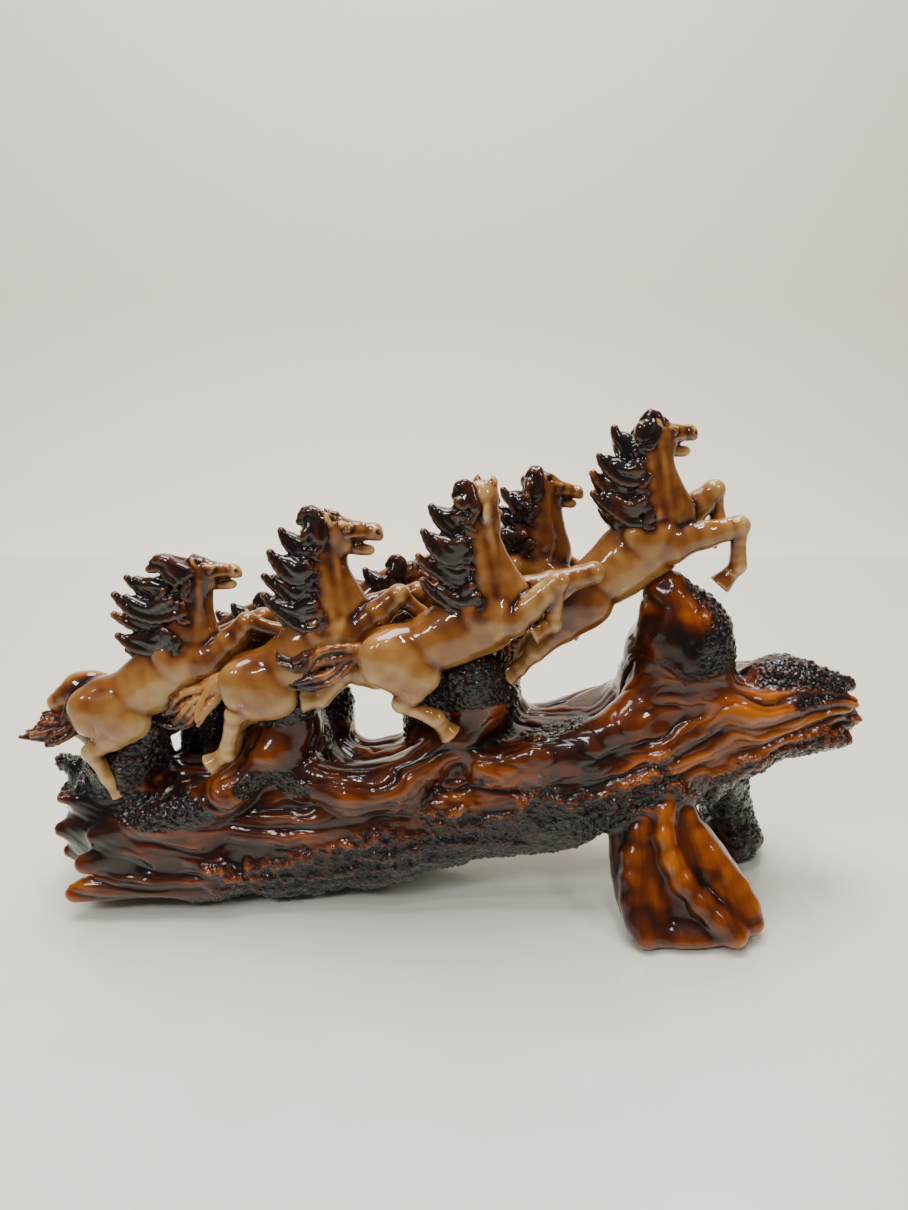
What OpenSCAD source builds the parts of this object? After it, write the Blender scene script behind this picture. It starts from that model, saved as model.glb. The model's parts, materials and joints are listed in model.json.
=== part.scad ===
// Herd of galloping horses on a root-wood base.
// Seven cast horses climb a gnarled root from left to right; the leader rears on a pillar of rock.
// Millimetres. +Z is up, +X is the way the herd runs, -Y faces the viewer.
// The origin is on the table, below the middle of the whole piece.

/* [View] */
// Piece to draw, or "all"

/* [Horses] */
// Height of a horse's barrel at the ribs
barrel_height = 34; // [28:1:40]
// Width of a horse's barrel at the ribs
barrel_width = 29; // [24:1:36]
// Distance of each leg from the horse's middle plane
leg_spread = 9; // [6:0.5:12]
// Thickness of a cannon bone, just below the knee
cannon_width = 7; // [5:0.5:9]
// Length of a hoof from coronet to toe
hoof_length = 8; // [6:0.5:11]
// Thickness of a lock of mane at its root
lock_width = 11; // [7:0.5:14]
// Length of an ear
ear_length = 7; // [5:0.5:10]

/* [Root base] */
// Depth of the root trunk, front to back
trunk_depth = 92; // [80:1:104]
// Height of the raised grain ridges above the trunk
ridge_height = 5; // [2:0.5:8]
// Size of the pebbles in the rock texture
pebble_size = 9; // [6:0.5:12]
// Number of folds in the front foot
foot_folds = 4; // [3:1:6]

/* [Pins] */
// Diameter of the steel pins that hold the horses
pin_diameter = 3; // [2:0.5:4]
// Length of the steel pins
pin_length = 20; // [14:1:26]
// Clearance between a pin and its hole
pin_clearance = 0.15; // [0.05:0.05:0.3]

/* [Hidden] */
// The middle of the whole piece, in the frame the poses are laid out in
datum = [-12.1, -16.1, 0];
side = [0, 1, 0];
near = -1;
far = 1;

// A pose: [hip position, turn, lean of the trunk, trunk length, neck steps, turn of the head,
//          near foreleg, far foreleg, near hind leg, far hind leg, gape of the mouth]
// Each limb is a walk of [angle above the horizontal, length] steps.
HIP = 0;
TURN = 1;
LEAN = 2;
TRUNK = 3;
NECK = 4;
HEAD_TURN = 5;
NEAR_FORE = 6;
FAR_FORE = 7;
NEAR_HIND = 8;
FAR_HIND = 9;
GAPE = 10;

pose_1 = [
    [-219, -22, 141], 6, 29, 64,
    [[84, 10], [80, 23], [75, 22], [0, 22]], 0,
    [[-5, 12], [33, 11], [48, 25], [-19, 20], [-60, 10]],
    [[5, 12], [25, 12], [30, 26], [-30, 20], [-70, 10]],
    [[-27, 19], [-142, 32], [-67, 20], [-64, 12]],
    [[165, 19], [-158, 16], [-81, 24], [-89, 16]],
    14
];
pose_2 = [
    [-123, -30, 162], 6, 30, 63,
    [[88, 10], [101, 26], [84, 25], [-3, 26]], 0,
    [[-14, 8], [40, 12], [42, 25], [-43, 21], [-80, 10]],
    [[0, 10], [35, 14], [20, 28], [-60, 20], [-100, 10]],
    [[-31, 17], [-158, 27], [-106, 27], [-146, 12]],
    [[-60, 18], [-140, 28], [-100, 24], [-90, 12]],
    18
];
pose_3 = [
    [-37, -40, 183], 6, 23, 64,
    [[77, 8], [104, 29], [90, 32], [-38, 26]], 66,
    [[-40, 5], [-2, 8], [42, 34], [-95, 25], [-154, 12]],
    [[2, 15], [42, 12], [14, 40], [-147, 20], [-139, 10]],
    [[-35, 19], [-121, 20], [-29, 23], [-51, 13]],
    [[-130, 17], [-175, 15], [-134, 24], [-175, 11]],
    0
];
pose_4 = [
    [67, -8, 205], 4, 37, 68,
    [[82, 14], [102, 23], [92, 23], [1, 24]], 18,
    [[-25, 9], [22, 8], [13, 33], [-86, 25], [-130, 14]],
    [[21, 19], [40, 9], [44, 17], [-77, 20], [-112, 14]],
    [[1, 16], [-138, 46], [-133, 14], [-140, 8]],
    [[-20, 18], [-128, 40], [-120, 18], [-110, 10]],
    20
];
pose_5 = [
    [4, 32, 182], 0, 33, 60,
    [[75, 10], [88, 22], [88, 20], [-8, 21]], 0,
    [[-30, 9], [-15, 9], [-35, 24], [-110, 18], [-140, 9]],
    [[-20, 9], [-5, 9], [-25, 24], [-100, 18], [-130, 9]],
    [[-40, 17], [-125, 26], [-70, 22], [-60, 11]],
    [[-100, 17], [-150, 24], [-100, 22], [-120, 11]],
    14
];
pose_6 = [
    [-112, 36, 142], 0, 28, 60,
    [[60, 10], [50, 20], [40, 20], [-20, 21]], 0,
    [[-40, 9], [-25, 9], [-35, 22], [-110, 18], [-140, 9]],
    [[-30, 9], [-10, 9], [-15, 24], [-100, 18], [-130, 9]],
    [[-45, 17], [-130, 24], [-75, 22], [-60, 11]],
    [[-110, 17], [-155, 22], [-110, 20], [-130, 11]],
    8
];
pose_7 = [
    [-202, 36, 124], 0, 25, 58,
    [[55, 10], [45, 20], [35, 18], [-10, 21]], 0,
    [[-40, 9], [-25, 9], [-30, 22], [-110, 18], [-140, 9]],
    [[-30, 9], [-10, 9], [-15, 24], [-95, 18], [-130, 9]],
    [[-45, 17], [-125, 22], [-80, 20], [-60, 11]],
    [[-120, 17], [-165, 22], [-140, 20], [-160, 11]],
    8
];

// A lock of mane: [place along the neck, angle, length, curl, sideways offset]
mane_1 = [
    [2.9, 166, 30, 14, -2], [2.7, 176, 44, -15, 2], [2.3, 177, 50, 17, -3],
    [1.8, 181, 49, -13, 2], [1.4, 185, 46, 15, -3], [0.9, 187, 40, -12, 2], [2.85, 122, 15, 36, 1]
];
mane_2 = [
    [2.9, 150, 24, 26, -1], [2.6, 160, 32, -16, 2], [2.2, 166, 38, 18, -3],
    [1.7, 172, 42, -14, 1], [1.2, 170, 46, 16, -3], [0.7, 176, 40, -18, 2], [2.95, 112, 14, 40, 0]
];
mane_3 = [
    [2.9, 158, 20, 24, -2], [2.6, 166, 32, -16, 3], [2.2, 168, 38, 18, -3],
    [1.7, 170, 42, -14, 1], [1.2, 170, 44, 16, -3], [0.8, 174, 40, -18, 2], [2.95, 100, 10, 30, 0]
];
mane_4 = [
    [2.9, 126, 19, 30, -1], [2.6, 152, 30, 14, 2], [2.2, 168, 38, -16, -3],
    [1.8, 172, 42, 18, 1], [1.3, 172, 43, -14, -3], [0.9, 176, 38, 16, 2], [2.95, 95, 13, 30, 0]
];
mane_5 = [
    [2.9, 140, 18, 26, 0], [2.5, 162, 30, -14, -2], [2.0, 168, 34, 16, 2],
    [1.5, 172, 38, -14, -2], [1.0, 176, 36, 16, 2], [2.95, 100, 10, 30, 0]
];
mane_6 = [
    [2.9, 150, 20, 20, 0], [2.5, 158, 28, -14, -2], [2.0, 164, 32, 14, 2],
    [1.5, 168, 32, -14, -2], [1.0, 172, 30, 14, 2], [2.95, 110, 9, 30, 0]
];
mane_7 = mane_6;

// A lock of tail: the sideways offset at its tip, then a walk of [angle, length] steps
tail_1 = [
    [-5, [-166, 13], [-143, 12], [-172, 12], [166, 9]],
    [6, [-160, 12], [-136, 13], [-165, 12], [174, 9]],
    [1, [-172, 13], [-152, 13], [178, 11]],
    [-8, [-158, 12], [-126, 13], [-158, 11]],
    [9, [-175, 12], [-165, 12], [166, 9]]
];
tail_2 = [
    [-6, [-142, 14], [-168, 12], [-118, 12], [-96, 12], [-150, 8]],
    [-2, [-148, 12], [-120, 14], [-80, 14], [-110, 12], [-170, 8]],
    [4, [-160, 14], [-175, 14], [-150, 12], [170, 12]],
    [8, [-166, 14], [178, 14], [150, 12], [110, 8]],
    [-8, [-140, 10], [-120, 14], [-110, 10]]
];
tail_3 = [
    [-4, [170, 12], [-166, 12], [-130, 12], [-104, 12]],
    [2, [176, 14], [-170, 14], [-150, 12], [170, 12]],
    [6, [-172, 14], [-158, 16], [178, 16], [130, 10]],
    [-8, [-160, 12], [-140, 14], [-165, 14], [170, 8]],
    [8, [-165, 14], [-150, 14], [-175, 14]]
];
tail_4 = [
    [-4, [-150, 12], [-118, 14], [-100, 14], [-130, 10]],
    [4, [-156, 12], [-130, 14], [-110, 12], [-150, 10]],
    [0, [-160, 12], [-140, 14], [-120, 14]],
    [-8, [-140, 12], [-110, 14], [-95, 12]],
    [8, [-165, 12], [-150, 12], [-130, 12]]
];
tail_5 = tail_4;
tail_6 = tail_1;
tail_7 = tail_4;

// Pin positions, on the joint between each horse and its rock
pins = [
    [-192, -15, 126], [-100, -23, 147], [6, -33, 170], [124, -7, 216],
    [24, 32, 172], [-92, 36, 133], [-168, 36, 120]
];

// ---- helpers ----

function heading(a) = [cos(a), 0, sin(a)];
function walk(p, steps, i = 0) =
    i == len(steps) ? [p] : concat([p], walk(p + steps[i][1] * heading(steps[i][0]), steps, i + 1));
function along(path, s) =
    let (i = min(floor(s), len(path) - 2)) path[i] * (1 - s + i) + path[i + 1] * (s - i);
function unit(v) = v / norm(v);
function tangent(path, i) = unit(path[min(i + 1, len(path) - 1)] - path[max(i - 1, 0)]);
function lateral(path, i) = unit(side - (side * tangent(path, i)) * tangent(path, i));

// The corners of one section of a tube. Its size is [radius in the bending plane, radius across it].
function ring(path, sizes, i, n) =
    let (t = tangent(path, i), b = lateral(path, i), up = cross(t, b))
        [for (j = [0:n - 1])
            path[i] + up * sizes[i][0] * cos(360 * j / n) + b * sizes[i][1] * sin(360 * j / n)];

function shell(n) = concat(
    [[for (j = [n - 1:-1:0]) j], [for (j = [0:n - 1]) n + j]],
    [for (j = [0:n - 1]) [j, (j + 1) % n, n + (j + 1) % n]],
    [for (j = [0:n - 1]) [j, n + (j + 1) % n, n + j]]
);

// A tube through the points of a path, hulled section to section
module tube(path, sizes, n) {
    for (i = [0:len(path) - 2])
        hull()
            polyhedron(concat(ring(path, sizes, i, n), ring(path, sizes, i + 1, n)), shell(n));
}

module ball(p, r, n = 5) {
    translate(p) sphere(r = r, $fn = n);
}

// The hull of two balls
module blend(p, q, r, s, n = 5) {
    hull() {
        ball(p, r, n);
        ball(q, s, n);
    }
}

// Children drawn in the frame of one horse
module on_horse(pose) {
    translate(pose[HIP] - datum) rotate([0, 0, pose[TURN]]) children();
}

module on_base() {
    translate(-datum) children();
}

// ---- a horse ----

function spine(pose, x, up) = x * heading(pose[LEAN]) + up * heading(pose[LEAN] + 90);
function chest(pose) = spine(pose, pose[TRUNK], 0);
function neck_path(pose) = walk(chest(pose), pose[NECK]);
function leg_side(way) = way * leg_spread * side;

module torso(pose, n) {
    k = pose[TRUNK] / 64;
    h = barrel_height / 2;
    w = barrel_width / 2;
    stations = [
        [-18, 0, 0.42, 0.42], [-13, 1, 0.8, 0.78], [-4, 1, 1.03, 1.02], [8, 0, 1, 1.05],
        [22, -1, 0.93, 1], [38, -2, 0.97, 1.02], [52, -2, 1.08, 1.02], [64, -2, 1.02, 0.9],
        [72, -3, 0.74, 0.68], [77, -4, 0.34, 0.34]
    ];
    tube(
        [for (s = stations) spine(pose, s[0] * k, s[1])],
        [for (s = stations) [s[2] * h, s[3] * w]],
        n
    );
}

module neck(pose, n) {
    path = neck_path(pose);
    stations = [
        [0, 17, 10], [1, 16.5, 9.5], [1.5, 14, 8], [2, 11.8, 7], [2.5, 10, 6.2],
        [2.9, 8.6, 5.4], [3, 5.5, 4]
    ];
    tube([for (s = stations) along(path, s[0])], [for (s = stations) [s[1], s[2]]], n);
}

// The head points along +X from the poll before it is turned
module head(pose, n) {
    path = neck_path(pose);
    reach = pose[NECK][3][1];
    gape = pose[GAPE];
    poll = path[3];
    stations = [
        [-0.26, 0, 3.5, 3], [-0.12, 0, 6, 4.6], [0.1, 0, 7.2, 5.2], [0.35, 0, 6.4, 4.8],
        [0.62, 0.4, 4.8, 3.6], [0.85, 0.4, 4.1, 3.2], [1, 0.2, 3.9, 3.1], [1.1, 0, 2.2, 2]
    ];
    jaw = [
        [0.05, -3, 4.5, 4], [0.3, -4.4, 3.8, 3.4], [0.6, -4, 2.4, 2.6], [0.88, -3.4, 2, 2.3],
        [0.98, -3.2, 1.2, 1.4]
    ];
    translate(poll) rotate([0, 0, pose[HEAD_TURN]]) rotate([0, -pose[NECK][3][0], 0]) {
        tube([for (s = stations) [s[0] * reach, 0, s[1]]], [for (s = stations) [s[2], s[3]]], n);
        rotate([0, gape, 0])
            tube([for (s = jaw) [s[0] * reach, 0, s[1]]], [for (s = jaw) [s[2], s[3]]], 6);
        for (way = [near, far])
            blend([-2, way * 2.8, 5], [-5.5, way * 3.8, 4 + ear_length], 2.6, 0.6, 4);
    }
}

module foreleg(pose, way, n) {
    c = cannon_width / 2;
    h = hoof_length / 2;
    steps = way == near ? pose[NEAR_FORE] : pose[FAR_FORE];
    path = [for (p = walk(chest(pose), steps)) p + leg_side(way)];
    stations = [
        [0, 11, 5.5], [1, 9.5, 6], [2, 7.6, 6], [2.75, c * 1.4, c * 1.25],
        [3, c * 1.55, c * 1.4], [3.3, c * 1.05, c], [3.8, c, c], [4, c * 1.35, c * 1.2],
        [4.45, c, c], [4.5, h * 0.9, h * 0.85], [5, h * 1.15, h * 1.05]
    ];
    tube([for (s = stations) along(path, s[0])], [for (s = stations) [s[1], s[2]]], n);
}

module hindleg(pose, way, n) {
    c = cannon_width / 2;
    h = hoof_length / 2;
    steps = way == near ? pose[NEAR_HIND] : pose[FAR_HIND];
    path = [for (p = walk([0, 0, 0], steps)) p + leg_side(way)];
    stations = [
        [0, 15, 7], [0.6, 15, 8], [1, 13, 7.6], [1.4, 9, 6], [1.8, c * 1.7, c * 1.3],
        [2, c * 1.8, c * 1.4], [2.3, c * 1.15, c * 1.05], [2.8, c * 1.05, c],
        [3, c * 1.4, c * 1.2], [3.45, c, c], [3.5, h * 0.9, h * 0.85], [4, h * 1.15, h * 1.05]
    ];
    tube([for (s = stations) along(path, s[0])], [for (s = stations) [s[1], s[2]]], n);
}

module body_shape(pose, n) {
    torso(pose, n + 2);
    neck(pose, n);
    head(pose, n - 2);
    hindleg(pose, near, n - 4);
    hindleg(pose, far, n - 4);
}

module body(pose, n) {
    difference() {
        on_horse(pose) body_shape(pose, n);
        pin_holes();
    }
}

module forelegs(pose, n) {
    difference() {
        on_horse(pose) {
            foreleg(pose, near, n - 4);
            foreleg(pose, far, n - 4);
        }
        on_horse(pose) torso(pose, n + 2);
        on_horse(pose) neck(pose, n);
    }
}

// A tapering lock: a tube that ends in a point
module lock(path, r) {
    n = len(path) - 1;
    widths = [for (i = [0:n]) r * (1 - pow(i / n, 2.4)) + 0.5];
    tube(path, [for (w = widths) [w, w * 0.8]], 4);
}

module mane(pose, locks, n) {
    path = neck_path(pose);
    difference() {
        on_horse(pose) {
            for (l = locks) {
                root = along(path, l[0]) + l[4] * side;
                steps = [for (i = [0:3]) [l[1] + l[3] * (i - 1) / 1.2, l[2] / 4]];
                lock(walk(root, steps), lock_width / 2 * (0.75 + l[2] / 120));
            }
            blend(along(path, 2.9) - [6, 0, 0], along(path, 2) - [11, 0, 0], 5, 6, 6);
            blend(along(path, 2) - [11, 0, 0], along(path, 1) - [14, 0, 0], 6, 6, 6);
        }
        on_horse(pose) neck(pose, n);
        on_horse(pose) torso(pose, n + 2);
    }
}

module tail(pose, locks, n) {
    root = spine(pose, -14, 9);
    difference() {
        on_horse(pose) {
            for (l = locks) {
                steps = [for (i = [1:len(l) - 1]) l[i]];
                path = walk(root, steps);
                last = len(path) - 1;
                lock([for (i = [0:last]) path[i] + l[0] * side * i / last], 5);
            }
            blend(root, root + 10 * heading(locks[2][1][0]), 7.5, 6.5, 6);
        }
        on_horse(pose) torso(pose, n + 2);
    }
}

// ---- pins ----

module pin_holes() {
    on_base()
        for (p = pins)
            translate(p)
                cylinder(d = pin_diameter + 2 * pin_clearance, h = pin_length + 1, center = true, $fn = 12);
}

module dowel_pins() {
    color("silver")
        on_base()
            for (p = pins)
                translate(p) cylinder(d = pin_diameter, h = pin_length, center = true, $fn = 24);
}

// ---- base ----

// Stations of the root trunk: [x, height of its middle, half height, share of the depth, y]
trunk_stations = [
    [-150, 40, 39, 0.98, 3], [-120, 42, 42, 1, 3], [-95, 44, 42, 1, 3], [-60, 51, 40, 1, 4],
    [-20, 63, 37, 1, 4], [30, 75, 38, 1, 4], [75, 82, 39, 1, 4], [115, 100, 34, 1, 4],
    [155, 113, 31, 0.96, 4], [190, 122, 28, 0.86, 3], [216, 129, 24, 0.66, 2]
];
foot_stations = [
    [-260, 40, 12, 0.3, 4], [-252, 40, 24, 0.54, 4], [-235, 40, 33, 0.8, 4], [-205, 40, 38, 0.94, 3],
    [-170, 40, 40, 0.98, 3], [-150, 40, 39, 0.98, 3]
];
burl_stations = [
    [212, 129, 24, 0.64, 2], [226, 131, 21, 0.54, 0], [238, 131, 18, 0.42, -2], [246, 130, 14, 0.3, -3],
    [252, 129, 7, 0.16, -3]
];

// The root wood: an oblong section whose surface rises in ridges that drift round as they run along
module root_wood(stations, n, ridges) {
    last = len(stations) - 1;
    function swell(i, a) = 1 + ridge_height / 60 * sin(ridges * a + 47 * i) + 0.04 * sin(3 * a - 60 * i);
    function oblong(v) = sign(v) * pow(abs(v), 0.75);
    points = [
        for (i = [0:last]) let (s = stations[i])
            for (j = [0:n - 1]) let (a = 360 * j / n, w = swell(i, a))
                [s[0], s[4] + s[3] * trunk_depth / 2 * w * oblong(sin(a)), s[1] + s[2] * w * oblong(cos(a))]
    ];
    walls = [
        for (i = [0:last - 1]) for (j = [0:n - 1])
            let (a = i * n + j, b = i * n + (j + 1) % n)
                for (f = [[a, b, b + n], [a, b + n, a + n]]) f
    ];
    ends = [[for (j = [n - 1:-1:0]) j], [for (j = [0:n - 1]) last * n + j]];
    polyhedron(points = points, faces = concat(walls, ends), convexity = 8);
}

// Everything under the table top is cut away
module above_table() {
    intersection() {
        children();
        translate([-400, -200, 0]) cube([800, 400, 500]);
    }
}

// Pebbles scattered over a lump, the same every time
module pebbles(middle, spread, count, seed) {
    u = rands(-1, 1, count * 3, seed);
    for (i = [0:count - 1]) {
        v = unit([u[3 * i], u[3 * i + 1] - 0.5, 0.6 * u[3 * i + 2] + 0.1]);
        p = middle + [v[0] * spread[0], v[1] * spread[1], v[2] * spread[2]];
        blend(p, p * 0.9 + middle * 0.1, pebble_size / 2, pebble_size / 2);
    }
}

module root_trunk_shape() {
    root_wood(trunk_stations, 24, 7);
}

module left_root_shape() {
    root_wood(foot_stations, 24, 7);
}

module root_trunk() {
    color([0.5, 0.24, 0.08])
        above_table()
            difference() {
                on_base() {
                    root_trunk_shape();
                    pebbles([-126, -16, 52], [18, 18, 14], 4, 21);
                    pebbles([62, 4, 106], [30, 12, 8], 4, 22);
                    blend([-130, -22, 12], [-112, -24, 14], 15, 16, 6);
                }
                on_base() back_foot_shape();
            }
}

module left_root() {
    color([0.46, 0.2, 0.07])
        above_table()
            difference() {
                on_base() {
                    left_root_shape();
                    pebbles([-205, -16, 54], [26, 18, 16], 4, 23);
                    blend([-250, -16, 18], [-205, -26, 28], 6, 16, 6);
                    blend([-260, -2, 38], [-220, -14, 44], 5, 17, 6);
                    blend([-260, 14, 58], [-225, 4, 58], 4, 17, 6);
                    blend([-254, -2, 88], [-232, 0, 66], 5, 16, 6);
                }
                on_base() root_trunk_shape();
            }
}

module burl_end() {
    color([0.34, 0.15, 0.08])
        difference() {
            on_base() {
                root_wood(burl_stations, 12, 3);
                blend([212, 8, 150], [228, 4, 154], 13, 11, 6);
                pebbles([220, 4, 154], [12, 10, 13], 4, 31);
                blend([238, -4, 148], [248, -8, 147], 8, 5);
                blend([234, -12, 132], [247, -14, 128], 8, 5);
                blend([226, -16, 118], [241, -12, 112], 9, 4);
            }
            on_base() root_trunk_shape();
        }
}

// A fold of the front foot, from the trunk down to the toe
module fold(x_top, x_toe, y_toe, r) {
    lower = [[x_top, -26, 100], [x_top + (x_toe - x_top) * 0.3, -38, 78],
        [x_top + (x_toe - x_top) * 0.65, -52, 44], [x_toe, y_toe + 14, 16], [x_toe, y_toe + 4, 2]];
    tube(lower, [[r * 1.2, r * 0.9], [r, r * 0.9], [r * 1.1, r], [r, r * 1.15], [r * 0.8, r * 1.1]], 10);
}

module front_foot() {
    color([0.6, 0.29, 0.09])
        above_table()
            difference() {
                on_base()
                    for (i = [0:foot_folds - 1]) {
                        t = i / (foot_folds - 1);
                        fold(112 + 34 * t, 126 + 58 * t, -72 + 8 * sin(180 * t) * -1, 15 - 2 * t);
                    }
                on_base() root_trunk_shape();
            }
}

module back_foot_shape() {
    blend([176, 16, 96], [184, 22, 70], 22, 18, 8);
    blend([184, 22, 70], [194, 26, 40], 18, 14, 8);
    blend([194, 26, 40], [200, 26, 12], 14, 18, 8);
    blend([200, 26, 12], [188, 32, 4], 18, 20, 8);
    for (a = [20:60:320])
        blend([186, 22, 60] + 12 * heading(a), [198, 26, 8] + 14 * [cos(a), sin(a), 0], 6, 8);
}

module back_foot() {
    color([0.3, 0.13, 0.07]) above_table() on_base() back_foot_shape();
}

// A rock under a horse: a heap of lumps round a core, cut to the horse and the root it joins
module rock(lumps, grit, seed, pose, n = 10) {
    color([0.12, 0.08, 0.07])
        difference() {
            on_base() {
                for (i = [0:len(lumps) - 2])
                    blend(lumps[i][0], lumps[i + 1][0], lumps[i][1] * 0.86, lumps[i + 1][1] * 0.86, 7);
                for (i = [0:len(lumps) - 1])
                    pebbles(lumps[i][0], [1, 1, 1] * lumps[i][1] * 0.84, grit, seed + i);
            }
            on_base() root_trunk_shape();
            on_base() left_root_shape();
            on_horse(pose) body_shape(pose, n);
            pin_holes();
        }
}

module rock_1() {
    rock([[[-222, -4, 60], 30], [[-214, -7, 92], 23], [[-195, -14, 127], 13]], 3, 19, pose_1);
}

module rock_2() {
    rock([[[-112, 2, 76], 28], [[-110, -6, 112], 23], [[-100, -23, 146], 14]], 3, 12, pose_2);
}

module rock_3() {
    rock([[[2, 4, 112], 32], [[8, -6, 140], 27], [[8, -30, 166], 15]], 3, 13, pose_3);
}

module rock_4() {
    rock(
        [[[138, 2, 128], 36], [[140, -2, 164], 27], [[136, -6, 194], 17], [[127, -8, 219], 6]],
        2, 14, pose_4
    );
}

module rock_5() {
    rock([[[24, 32, 118], 20], [[24, 32, 150], 15], [[24, 32, 172], 10]], 2, 15, pose_5, 8);
}

module rock_6() {
    rock([[[-90, 32, 86], 19], [[-90, 35, 112], 14], [[-92, 36, 134], 10]], 2, 16, pose_6, 8);
}

module rock_7() {
    rock([[[-170, 30, 70], 20], [[-168, 34, 96], 15], [[-168, 36, 122], 10]], 2, 17, pose_7, 8);
}

// ---- the pieces ----

coat = [0.72, 0.53, 0.3];
coat_dark = [0.42, 0.24, 0.13];
hair = [0.22, 0.12, 0.09];

module horse_1_body() {
    color(coat) body(pose_1, 10);
}

module horse_2_body() {
    color(coat) body(pose_2, 10);
}

module horse_3_body() {
    color(coat) body(pose_3, 10);
}

module horse_4_body() {
    color(coat) body(pose_4, 10);
}

module horse_5_body() {
    color(coat_dark) body(pose_5, 8);
}

module horse_6_body() {
    color(coat_dark) body(pose_6, 8);
}

module horse_7_body() {
    color(coat_dark) body(pose_7, 8);
}

module horse_1_forelegs() {
    color(coat) forelegs(pose_1, 10);
}

module horse_2_forelegs() {
    color(coat) forelegs(pose_2, 10);
}

module horse_3_forelegs() {
    color(coat) forelegs(pose_3, 10);
}

module horse_4_forelegs() {
    color(coat) forelegs(pose_4, 10);
}

module horse_5_forelegs() {
    color(coat_dark) forelegs(pose_5, 8);
}

module horse_6_forelegs() {
    color(coat_dark) forelegs(pose_6, 8);
}

module horse_7_forelegs() {
    color(coat_dark) forelegs(pose_7, 8);
}

module horse_1_mane() {
    color(hair) mane(pose_1, mane_1, 10);
}

module horse_2_mane() {
    color(hair) mane(pose_2, mane_2, 10);
}

module horse_3_mane() {
    color(hair) mane(pose_3, mane_3, 10);
}

module horse_4_mane() {
    color(hair) mane(pose_4, mane_4, 10);
}

module horse_5_mane() {
    color(hair) mane(pose_5, mane_5, 8);
}

module horse_6_mane() {
    color(hair) mane(pose_6, mane_6, 8);
}

module horse_7_mane() {
    color(hair) mane(pose_7, mane_7, 8);
}

module horse_1_tail() {
    color(hair) tail(pose_1, tail_1, 10);
}

module horse_2_tail() {
    color(hair) tail(pose_2, tail_2, 10);
}

module horse_3_tail() {
    color(hair) tail(pose_3, tail_3, 10);
}

module horse_4_tail() {
    color(hair) tail(pose_4, tail_4, 10);
}

module horse_5_tail() {
    color(hair) tail(pose_5, tail_5, 8);
}

module horse_6_tail() {
    color(hair) tail(pose_6, tail_6, 8);
}

module horse_7_tail() {
    color(hair) tail(pose_7, tail_7, 8);
}

root_trunk();
left_root();
burl_end();
front_foot();
back_foot();
rock_1();
rock_2();
rock_3();
rock_4();
rock_5();
rock_6();
rock_7();
horse_1_body();
horse_1_forelegs();
horse_1_mane();
horse_1_tail();
horse_2_body();
horse_2_forelegs();
horse_2_mane();
horse_2_tail();
horse_3_body();
horse_3_forelegs();
horse_3_mane();
horse_3_tail();
horse_4_body();
horse_4_forelegs();
horse_4_mane();
horse_4_tail();
horse_5_body();
horse_5_forelegs();
horse_5_mane();
horse_5_tail();
horse_6_body();
horse_6_forelegs();
horse_6_mane();
horse_6_tail();
horse_7_body();
horse_7_forelegs();
horse_7_mane();
horse_7_tail();
dowel_pins();
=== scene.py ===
"""Looks for the horse herd statue: clay-like fields are blended from soft primitives, meshed, stained
and lacquered. Lengths are millimetres until a mesh is made. The horses and the base are laid out in a
measuring frame, which DATUM moves to the frame of the CAD part."""
import json
import math
import bpy
import numpy as np
import openvdb
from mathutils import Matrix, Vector
from types import SimpleNamespace

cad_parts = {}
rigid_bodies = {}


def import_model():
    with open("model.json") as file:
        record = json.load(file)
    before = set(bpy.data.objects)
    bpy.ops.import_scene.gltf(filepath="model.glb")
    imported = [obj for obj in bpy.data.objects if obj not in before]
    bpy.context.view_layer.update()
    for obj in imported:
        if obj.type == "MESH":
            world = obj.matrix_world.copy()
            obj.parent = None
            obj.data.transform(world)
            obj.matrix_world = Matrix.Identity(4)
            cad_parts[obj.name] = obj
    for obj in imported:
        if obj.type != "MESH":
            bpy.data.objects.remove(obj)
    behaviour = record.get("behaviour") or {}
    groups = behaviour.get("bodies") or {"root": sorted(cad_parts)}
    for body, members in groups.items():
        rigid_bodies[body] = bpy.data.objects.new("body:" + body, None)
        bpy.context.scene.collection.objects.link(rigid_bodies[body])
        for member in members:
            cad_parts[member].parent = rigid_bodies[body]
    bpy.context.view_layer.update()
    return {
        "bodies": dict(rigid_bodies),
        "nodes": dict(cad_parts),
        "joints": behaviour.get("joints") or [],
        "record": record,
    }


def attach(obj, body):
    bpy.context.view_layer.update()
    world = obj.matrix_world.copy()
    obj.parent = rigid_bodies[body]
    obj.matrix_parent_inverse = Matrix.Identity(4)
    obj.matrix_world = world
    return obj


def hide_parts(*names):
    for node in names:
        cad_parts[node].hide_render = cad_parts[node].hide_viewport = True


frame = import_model()

MM_PER_M = 1000
DATUM = np.array([-12.1, -16.1, 0.0])   # the part frame's origin, in the measuring frame
CELLS = {"front": (0.58, 0.9), "rear": (0.8, 1.1), "base": (1.0, 1.6)}
HAIR_CELL = 0.92        # the hair's grid cell over its horse's

# ---------------------------------------------------------------- poses of the horses

NEAR, FAR = -1, 1       # a horse's side that faces the photograph's viewer, and the other
SPREAD = 9.0            # from a horse's middle plane to its legs
CHEST = 64              # from hip to chest on a horse of trunk 64
FIRST_REAR = 5          # the first of the horses that stand behind the front row

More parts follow.
